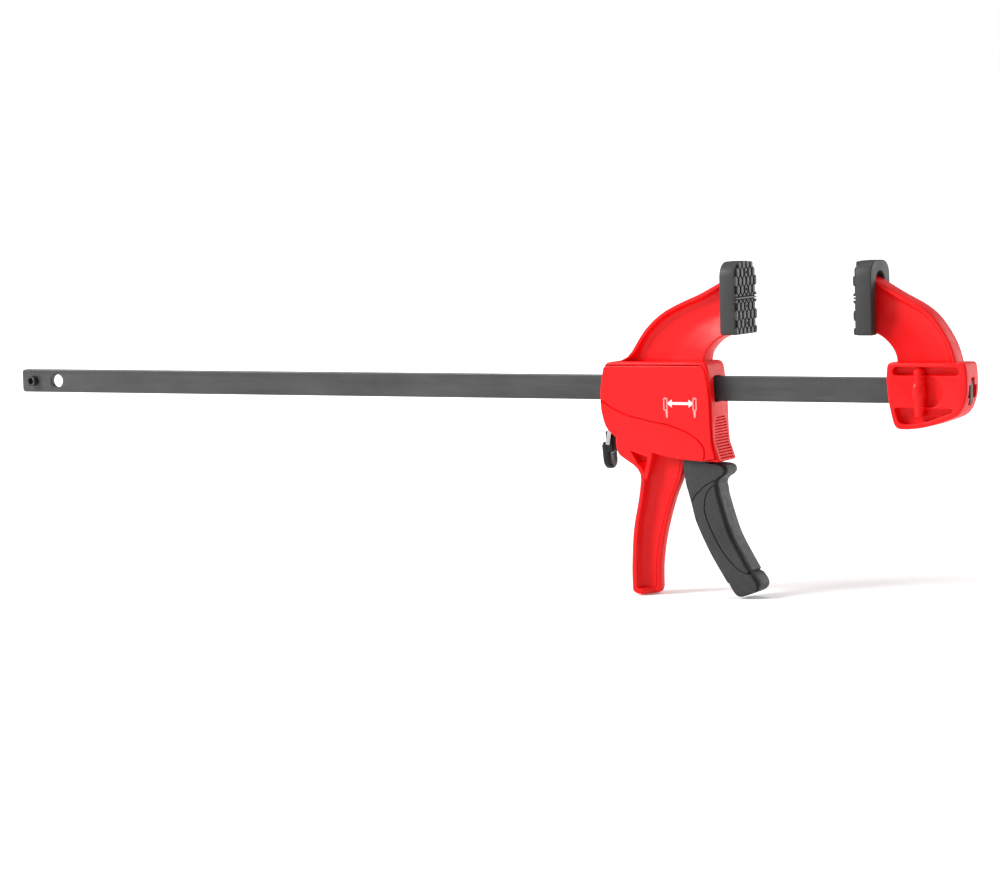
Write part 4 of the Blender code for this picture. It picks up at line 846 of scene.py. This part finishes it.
def make_lever(name):
    """The thumb lever: a thick head with a rounded tab below it, dished where the thumb lies."""
    front_view = [(5.6, -85.4), (-5.6, -85.4), *arc((0.0, -94.7), 5.6, 180, 360, 20)]
    tab = board("tab", front_view, -163.9, -158.9, 1.6, "X", 3)
    edit(tab)
    pick("FACE", flat_end(0))
    for thickness, depth in THUMB_STEPS:
        bpy.ops.mesh.inset(thickness=thickness * MM, depth=depth * MM)
    put_down()
    head = block("head", (-160.6, -5.6, -90.6), (-156.4, 5.6, -77.8), 1.0, 3)
    shoulder = block("shoulder", (-163.3, -5.0, -87.4), (-159.2, 5.0, -84.2), 0.9, 3)
    lever = named(joined(tab, head, shoulder), name)
    edit_all(lever)
    middle = Vector(LEVER_MIDDLE) * MM
    bpy.ops.transform.rotate(value=LEVER_LEAN, orient_axis="Y", center_override=middle)
    put_down()
    return lever


def make_screw():
    """A pan head screw with a cross recess, at the origin of the side view."""
    screw = turned("screw", SCREW, (0.0, 0.0, 0.0), "Y", 28)
    for wide, tall in ((1.35, 0.28), (0.28, 1.35)):
        worked(screw, block("cross", (-wide, 11.1, -tall), (wide, 13.0, tall), 0.12))
    return screw


def printed(name, outline):
    """A flat print on the near cover."""
    return board(name, outline, -COVER_FACE, -MARK_FACE)


def jaw_sign(name, x, z, leg_x):
    """One of the two jaws of the opening mark: a thin loop with a leg below it."""
    loop = printed(name, rounded_box((x - 1.3, z - 7.6), (x + 1.3, z), (0.9, 0.9, 1.0, 1.0), 4))
    inside = rounded_box((x - 0.65, z - 6.9), (x + 0.65, z - 0.75), (0.5,) * 4, 4)
    worked(loop, board("hole", inside, -11.0, -13.0))
    top, foot = z - 7.4, z - 11.6
    leg = [(leg_x - 0.75, top), (leg_x + 0.75, top), (leg_x + 0.6, foot), (leg_x - 0.4, foot)]
    return joined(loop, printed("leg", leg))


def make_mark():
    """The sign for the opening: a double arrow between two jaws."""
    low, high, z = -118.1, -101.0, -60.55
    tip, half, shaft = 3.2, 2.35, 0.8
    arrow = printed("opening_mark", [
        (low, z), (low + tip, z - half), (low + tip, z - shaft), (high - tip, z - shaft),
        (high - tip, z - half), (high, z), (high - tip, z + half), (high - tip, z + shaft),
        (low + tip, z + shaft), (low + tip, z + half),
    ])
    left = jaw_sign("opening_jaws", -119.0, -57.2, -118.3)
    return arrow, joined(left, jaw_sign("other", -100.4, -57.1, -100.5))


def make_spring(name, radius, wire_width, turns, start, end, height):
    """A compression spring of round wire along X, with its end turns closed."""
    closed = wire_width * 1.05
    sides = [math.tau * k / WIRE_SIDES for k in range(WIRE_SIDES)]
    rings = []
    for step in range(turns * TURN_STEPS + 1):
        turn = step / TURN_STEPS
        if turn < 1:
            x = start + turn * closed
        elif turn > turns - 1:
            x = end - (turns - turn) * closed
        else:
            x = start + closed + (turn - 1) / (turns - 2) * (end - start - 2 * closed)
        across, up = math.cos(turn * math.tau), math.sin(turn * math.tau)
        ring = []
        for a in sides:
            out = radius + wire_width / 2 * math.cos(a)
            ring.append((x + wire_width / 2 * math.sin(a), across * out, height + up * out))
        rings.append(ring)
    return drawn(name, rings)


# Finishes


def grey(level):
    return (level, level, level)


def dialled(node, **values):
    """Sets a node's inputs."""
    for name, value in values.items():
        node.inputs[name.replace("_", " ")].default_value = value
    return node


def added(tree, kind, **values):
    return dialled(tree.nodes.new(kind), **values)


def finish_of(name, colour, roughness, metallic=0.0, specular=0.5):
    """A finish, with its shader and its place on the piece."""
    look = bpy.data.materials.new(name)
    look.use_nodes = True
    shader = dialled(
        look.node_tree.nodes["Principled BSDF"], Base_Color=(*colour, 1.0), Roughness=roughness,
        Metallic=metallic, Specular_IOR_Level=specular,
    )
    return look, shader, added(look.node_tree, "ShaderNodeTexCoord").outputs["Object"]


def grain(place, scale, detail=4.0, stretch=(1.0, 1.0, 1.0), roughness=0.55):
    """Noise on the piece's own coordinates, stretched where the finish has a run to it."""
    tree = place.id_data
    mapping = added(tree, "ShaderNodeMapping", Scale=stretch)
    noise = added(tree, "ShaderNodeTexNoise", Scale=scale, Detail=detail, Roughness=roughness)
    tree.links.new(place, mapping.inputs["Vector"])
    tree.links.new(mapping.outputs["Vector"], noise.inputs["Vector"])
    return noise.outputs["Fac"]


def spread(source, low, high, start=0.3, end=0.7):
    """Carries a value from one range, start to end, to another, low to high."""
    tree = source.id_data
    ranged = added(tree, "ShaderNodeMapRange", From_Min=start, From_Max=end)
    dialled(ranged, To_Min=low, To_Max=high)
    tree.links.new(source, ranged.inputs["Value"])
    return ranged.outputs["Result"]


def shades(source, *stops):
    """A colour ramp over a pattern, from its (position, colour) stops."""
    tree = source.id_data
    ramp = added(tree, "ShaderNodeValToRGB")
    for end, (position, colour) in ((0, stops[0]), (1, stops[-1])):
        ramp.color_ramp.elements[end].position = position
        ramp.color_ramp.elements[end].color = (*colour, 1.0)
    for position, colour in stops[1:-1]:
        ramp.color_ramp.elements.new(position).color = (*colour, 1.0)
    tree.links.new(source, ramp.inputs["Fac"])
    return ramp.outputs["Color"]


def mixed(first, second, blend):
    """Two colours laid fully one over the other."""
    tree = first.id_data
    mix = added(tree, "ShaderNodeMix", Factor=1.0)
    mix.data_type = "RGBA"
    mix.blend_type = blend
    colours = [s for s in mix.inputs if s.type == "RGBA"]
    tree.links.new(first, colours[0])
    tree.links.new(second, colours[1])
    return [s for s in mix.outputs if s.type == "RGBA"][0]


def painted(shader, colour, roughness, *layers):
    """Carries colour and roughness to the shader, and lays bumps one over the other.

    Each layer of bumps is (pattern, strength, height in millimetres).
    """
    tree = shader.id_data
    tree.links.new(colour, shader.inputs["Base Color"])
    tree.links.new(roughness, shader.inputs["Roughness"])
    last = None
    for source, strength, height in layers:
        bump = added(tree, "ShaderNodeBump", Strength=strength, Distance=height * MM)
        tree.links.new(source, bump.inputs["Height"])
        if last:
            tree.links.new(last, bump.inputs["Normal"])
        last = bump.outputs["Normal"]
    tree.links.new(last, shader.inputs["Normal"])


def patterned(name, colour, roughness, pattern, stops, gloss, bump, **kind):
    """A finish whose one pattern gives its shades, its gloss and its bumps.

    The pattern is what grain asks for, and the bump (strength, height in millimetres).
    """
    look, shader, place = finish_of(name, colour, roughness, **kind)
    source = grain(place, *pattern)
    painted(shader, shades(source, *stops), spread(source, *gloss), (source, *bump))
    return look


def red_nylon():
    """Glass filled nylon, coloured right through: a fine spark texture and slow flow shades."""
    red = (0.93, 0.006, 0.008)
    look, shader, place = finish_of("red_nylon", red, 0.42, specular=0.25)
    fine, coarse = grain(place, 1500.0, 2.0), grain(place, 420.0, 3.0)
    dark, light = (0.90, 0.004, 0.006), (0.95, 0.009, 0.011)
    cloud = shades(grain(place, 28.0, 3.0), (0.32, dark), (0.55, red), (0.72, light))
    fibre = shades(fine, (0.30, (0.93, 0.90, 0.90)), (0.72, grey(1.0)))
    gloss = spread(grain(place, 160.0, 5.0), 0.34, 0.48)
    toned = mixed(cloud, fibre, "MULTIPLY")
    painted(shader, toned, gloss, (fine, 0.12, 0.05), (coarse, 0.08, 0.12))
    return look


def black_nylon():
    """Dark moulded nylon with glass fibre showing as faint grey specks."""
    look, shader, place = finish_of("black_nylon", grey(0.028), 0.5, specular=0.4)
    fine, coarse = grain(place, 1300.0, 3.0), grain(place, 500.0, 2.0)
    dark, light = (0.022, 0.023, 0.023), (0.033, 0.034, 0.033)
    ground = shades(grain(place, 45.0), (0.3, dark), (0.7, light))
    specks = shades(fine, (0.58, grey(0.0)), (0.74, (0.04, 0.04, 0.039)))
    gloss = spread(grain(place, 240.0), 0.42, 0.60)
    toned = mixed(ground, specks, "ADD")
    painted(shader, toned, gloss, (fine, 0.25, 0.06), (coarse, 0.12, 0.1))
    return look


def black_rubber():
    """Soft matt rubber with a dusty bloom."""
    look, shader, place = finish_of("black_rubber", grey(0.05), 0.55, specular=0.4)
    bloom = grain(place, 70.0, 6.0, roughness=0.65)
    middle, pale = (0.034, 0.034, 0.033), (0.046, 0.046, 0.044)
    tone = shades(bloom, (0.3, grey(0.026)), (0.55, middle), (0.75, pale))
    painted(shader, tone, spread(bloom, 0.46, 0.64), (grain(place, 900.0, 3.0), 0.2, 0.05))
    return look


def painted_shade_rubber():
    """The same rubber between the lands and on the neck's floor, near black as painted shade, with
    faint random tones.
    """
    stops = ((0.35, grey(0.004)), (0.7, (0.014, 0.014, 0.013)))
    return patterned(
        "painted_shade_rubber", grey(0.008), 0.75, (500.0, 5.0), stops,
        gloss=(0.65, 0.9), bump=(0.2, 0.06), specular=0.15,
    )


def land_rubber():
    """The tops of the lands, pale grey as painted sheen, with random scuffed tones over it."""
    stops = ((0.30, grey(0.12)), (0.5, grey(0.19)), (0.7, (0.26, 0.26, 0.255)))
    return patterned(
        "land_rubber", grey(0.2), 0.6, (380.0, 6.0, (1.0, 1.0, 1.0), 0.7), stops,
        gloss=(0.5, 0.75), bump=(0.15, 0.05), specular=0.3,
    )


def lever_nylon():
    """The lever's glossier black, rubbed where the thumb lies."""
    stops = ((0.35, (0.006, 0.006, 0.007)), (0.7, grey(0.014)))
    return patterned(
        "lever_nylon", (0.008, 0.008, 0.009), 0.35, (420.0, 4.0), stops,
        gloss=(0.28, 0.45), bump=(0.12, 0.05), specular=0.22,
    )


def bar_steel():
    """Dark hot rolled flat steel: streaks along the bar, oxide patches and small scuffs."""
    look, shader, place = finish_of("dark_bar_steel", grey(0.11), 0.45, metallic=0.55)
    streaks = grain(place, 260.0, 5.0, (0.05, 1.0, 1.0))
    patches = grain(place, 36.0, 6.0, (0.4, 1.0, 1.0), 0.65)
    scuffs = grain(place, 90.0, 8.0, (0.25, 1.0, 1.6), 0.72)
    dark, middle, light = (0.050, 0.051, 0.052), (0.066, 0.067, 0.068), (0.083, 0.084, 0.084)
    ground = shades(patches, (0.32, dark), (0.52, middle), (0.72, light))
    run = shades(streaks, (0.30, grey(0.82)), (0.70, grey(1.08)))
    worn = shades(scuffs, (0.64, grey(0.0)), (0.80, grey(0.05)))
    toned = mixed(mixed(ground, run, "MULTIPLY"), worn, "ADD")
    gloss = spread(streaks, 0.38, 0.55)
    painted(shader, toned, gloss, (streaks, 0.15, 0.06), (scuffs, 0.1, 0.08))
    return look


def bright_steel():
    """Zinc plated steel, lightly brushed, with a little darkening."""
    zinc = (0.5, 0.49, 0.475)
    look, shader, place = finish_of("bright_steel", zinc, 0.3, metallic=1.0)
    brush = grain(place, 700.0, 3.0, (0.12, 0.12, 1.0))
    dark, middle, light = (0.36, 0.355, 0.34), (0.50, 0.49, 0.48), (0.60, 0.59, 0.58)
    tone = shades(grain(place, 110.0, 5.0), (0.3, dark), (0.6, middle), (0.8, light))
    painted(shader, tone, spread(brush, 0.24, 0.42), (brush, 0.1, 0.03))
    return look


def screw_steel():
    """Blackened screw steel, worn brighter here and there."""
    stops = ((0.35, (0.045, 0.045, 0.047)), (0.6, grey(0.07)), (0.78, (0.22, 0.21, 0.20)))
    return patterned(
        "black_screw_steel", grey(0.06), 0.38, (800.0, 5.0), stops,
        gloss=(0.3, 0.5), bump=(0.1, 0.03), metallic=0.8,
    )


def mark_ink(name, colour):
    """Pad printed ink, a little thin where it lies over the grain."""
    thin = tuple(c * k for c, k in zip(colour, (0.97, 0.80, 0.78)))
    return patterned(
        name, colour, 0.45, (900.0, 4.0), ((0.34, thin), (0.5, colour)),
        gloss=(0.38, 0.52), bump=(0.1, 0.02), specular=0.4,
    )


# Assembly

red, black, rubber = red_nylon(), black_nylon(), black_rubber()
bar_finish, bright, dark_screw = bar_steel(), bright_steel(), screw_steel()
arrow_ink = mark_ink("pale_ink", (0.92, 0.80, 0.79))
jaw_ink = mark_ink("pink_ink", (0.90, 0.36, 0.34))

for node, look in {
    "bar": bar_finish, "stop_pin": dark_screw, "fixed_jaw_pin": dark_screw,
    "trigger_pin": bright, "brake_plate": bright, "drive_plate_1": bright, "drive_plate_2": bright,
}.items():
    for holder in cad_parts[node].material_slots:
        holder.material = look

fixed_pad = make_pad("fixed_pad_rubber", make_pad_face("pad_face"))
moving_pad = flipped(copied(fixed_pad, "moving_pad_rubber"), 0, MOVING_FACE / 2)
finished(fixed_pad, rubber, "fixed_end", "black_rubber", "fixed_pad")
finished(moving_pad, rubber, "moving_jaw", "black_rubber", "moving_pad")
groove, sheen_painted_land = painted_shade_rubber(), land_rubber()
for pad, face_x, way in ((fixed_pad, 0.0, 1), (moving_pad, MOVING_FACE, -1)):
    pad.data.materials.append(groove)
    pad.data.materials.append(sheen_painted_land)
    edit(pad)
    # By their depth: the floors between the lands and the neck's floor take the near black painted
    # shade, and the tops of the lands the pale grey painted sheen
    for slot_number, near, far in ((1, 1.24, 1.26), (1, 6.9, 7.3), (2, -0.01, 0.26)):
        pick("FACE", lambda f: all(near < way * (v.co.x / MM - face_x) < far for v in f.verts))
        bpy.context.object.active_material_index = slot_number
        bpy.ops.object.material_slot_assign()
    put_down()

fixed_parts = (make_head(), make_arm("fixed_arm", FIXED_BACK, FIXED_THROAT, (6.4, 3.4)))
fixed_jaw = named(joined(*fixed_parts), "fixed_jaw_body")
finished(fixed_jaw, red, "fixed_end", "red_nylon", "fixed_jaw")

moving_parts = (
    worked(make_housing(), *make_grip_grooves()), make_handle(),
    make_arm("moving_arm", MOVING_BACK, MOVING_THROAT, (-78.0, -75.0)),
)
moving_jaw = named(joined(*moving_parts), "moving_jaw_body")
finished(moving_jaw, red, "moving_jaw", "red_nylon", "jaw_frame")

# The two springs, each with a mesh of its own
drive_coil = make_spring("drive_coil", 8.6, 1.2, 6, -127.05, -110.25, BAR_Z)
finished(drive_coil, bright, "moving_jaw", "bright_steel", "drive_spring", angle=60)
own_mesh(drive_coil)
brake_coil = make_spring("brake_coil", 2.6, 0.7, 5, -155.25, -148.0, -72.55)
finished(brake_coil, bright, "moving_jaw", "bright_steel", "brake_spring", angle=60)
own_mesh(brake_coil)

near_cover = make_cover("near_cover")
far_cover = flipped(copied(near_cover, "far_cover"), 1)
screw = make_screw()
for number, (x, z) in enumerate(SCREW_PLACES, 1):
    worked(far_cover, turned("sink", SCREW_SINK, (x, 0.0, z), "Y", 24))
    one = copied(screw, f"far_screw_{number}", (x, 0.0, z))
    finished(one, dark_screw, "moving_jaw", "black_screw_steel", f"cover_screw_{number}")
thrown_away(screw)
finished(near_cover, red, "moving_jaw", "red_nylon", "front_cover")
finished(far_cover, red, "moving_jaw", "red_nylon", "rear_cover")

finished(make_trigger(), black, "trigger", "black_nylon", "trigger")
finished(make_lever("thumb_lever"), lever_nylon(), "brake", "black_nylon", "release_lever")

arrow, jaws = make_mark()
finished(arrow, arrow_ink, "moving_jaw", "red_nylon")
finished(jaws, jaw_ink, "moving_jaw", "red_nylon")


# Floor, light and camera, in metres

CLAMP_MIDDLE = (-0.1, 0.0, -0.08)
WORLD_FILL = 0.36
SOLE_GAP = 0.0006  # between the handle's sole and the floor
FADE_START, FADE_END, FADE_LEAST = 0.5, 1.6, 0.16
CAMERA_PLACE = (0.74612, -1.80665, 0.08712)
CAMERA_TURNS = ((28.5, "Z"), (90.0 - 4.7, "X"), (-1.45, "Z"))  # its yaw, pitch and roll


def either_ray(tree, *kinds):
    """1 for light rays of either kind, and 0 for all others."""
    path = added(tree, "ShaderNodeLightPath")
    either = added(tree, "ShaderNodeMath")
    either.operation = "MAXIMUM"
    for number, kind in enumerate(kinds):
        tree.links.new(path.outputs[kind], either.inputs[number])
    return either.outputs["Value"]


def pale_floor():
    """Pale and matt. It keeps the clamp's shadow, and fades to white further out for the camera."""
    look, shader, place = finish_of("pale_floor", grey(0.95), 0.9, specular=0.1)
    tree = look.node_tree
    tone = shades(grain(place, 9.0, 3.0), (0.3, grey(0.93)), (0.7, grey(0.96)))
    tree.links.new(tone, shader.inputs["Base Color"])
    away = added(tree, "ShaderNodeVectorMath")
    away.operation = "LENGTH"
    tree.links.new(place, away.inputs[0])
    fade = spread(away.outputs["Value"], FADE_LEAST, 1.0, FADE_START, FADE_END)
    shown = added(tree, "ShaderNodeMath")
    shown.operation = "MULTIPLY"
    tree.links.new(either_ray(tree, "Is Camera Ray", "Is Glossy Ray"), shown.inputs[0])
    tree.links.new(fade, shown.inputs[1])
    shader.inputs["Emission Color"].default_value = (1.0, 1.0, 1.0, 1.0)
    tree.links.new(shown.outputs["Value"], shader.inputs["Emission Strength"])
    return look


def softbox(name, place, size, energy):
    """A rectangular light aimed at the clamp."""
    lamp = bpy.data.lights.new(name, "AREA")
    lamp.shape = "RECTANGLE"
    lamp.size, lamp.size_y = size
    lamp.energy = energy
    holder = bpy.data.objects.new(name, lamp)
    bpy.context.scene.collection.objects.link(holder)
    holder.location = place
    way = Vector(CLAMP_MIDDLE) - Vector(place)
    holder.rotation_euler = way.to_track_quat("-Z", "Y").to_euler()


bpy.ops.object.select_all(action="DESELECT")
floor_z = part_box("jaw_frame")[0].z - SOLE_GAP
bpy.ops.mesh.primitive_plane_add(size=24.0, location=(0.0, 0.0, floor_z))
floor = bpy.context.object
floor.name = "floor"
bpy.ops.object.transform_apply(location=True, rotation=False, scale=False)
floor.data.materials.append(pale_floor())

world = bpy.data.worlds.new("studio")
bpy.context.scene.world = world
world.use_nodes = True
tree = world.node_tree
air = tree.nodes["Background"]
air.inputs["Color"].default_value = (1.0, 1.0, 1.0, 1.0)
seen = either_ray(tree, "Is Camera Ray", "Is Transmission Ray")
tree.links.new(spread(seen, WORLD_FILL, 1.0, 0.0, 1.0), air.inputs["Strength"])

softbox("key", (-1.45, -1.2, 1.2), (0.9, 0.9), 54.0)
softbox("right", (1.15, 1.6, 0.35), (1.6, 1.4), 17.0)
softbox("top", (-0.2, 0.2, 1.9), (1.2, 0.8), 12.0)

lens = bpy.data.cameras.new("camera")
lens.lens = 124.2
lens.sensor_width = 36.0
lens.clip_start, lens.clip_end = 0.05, 60.0
camera = bpy.data.objects.new("camera", lens)
bpy.context.scene.collection.objects.link(camera)
turn = Matrix.Identity(4)
for degrees, axis in CAMERA_TURNS:
    turn = turn @ Matrix.Rotation(math.radians(degrees), 4, axis)
camera.matrix_world = Matrix.Translation(CAMERA_PLACE) @ turn
bpy.context.scene.camera = camera
bpy.context.scene.view_settings.view_transform = "Standard"
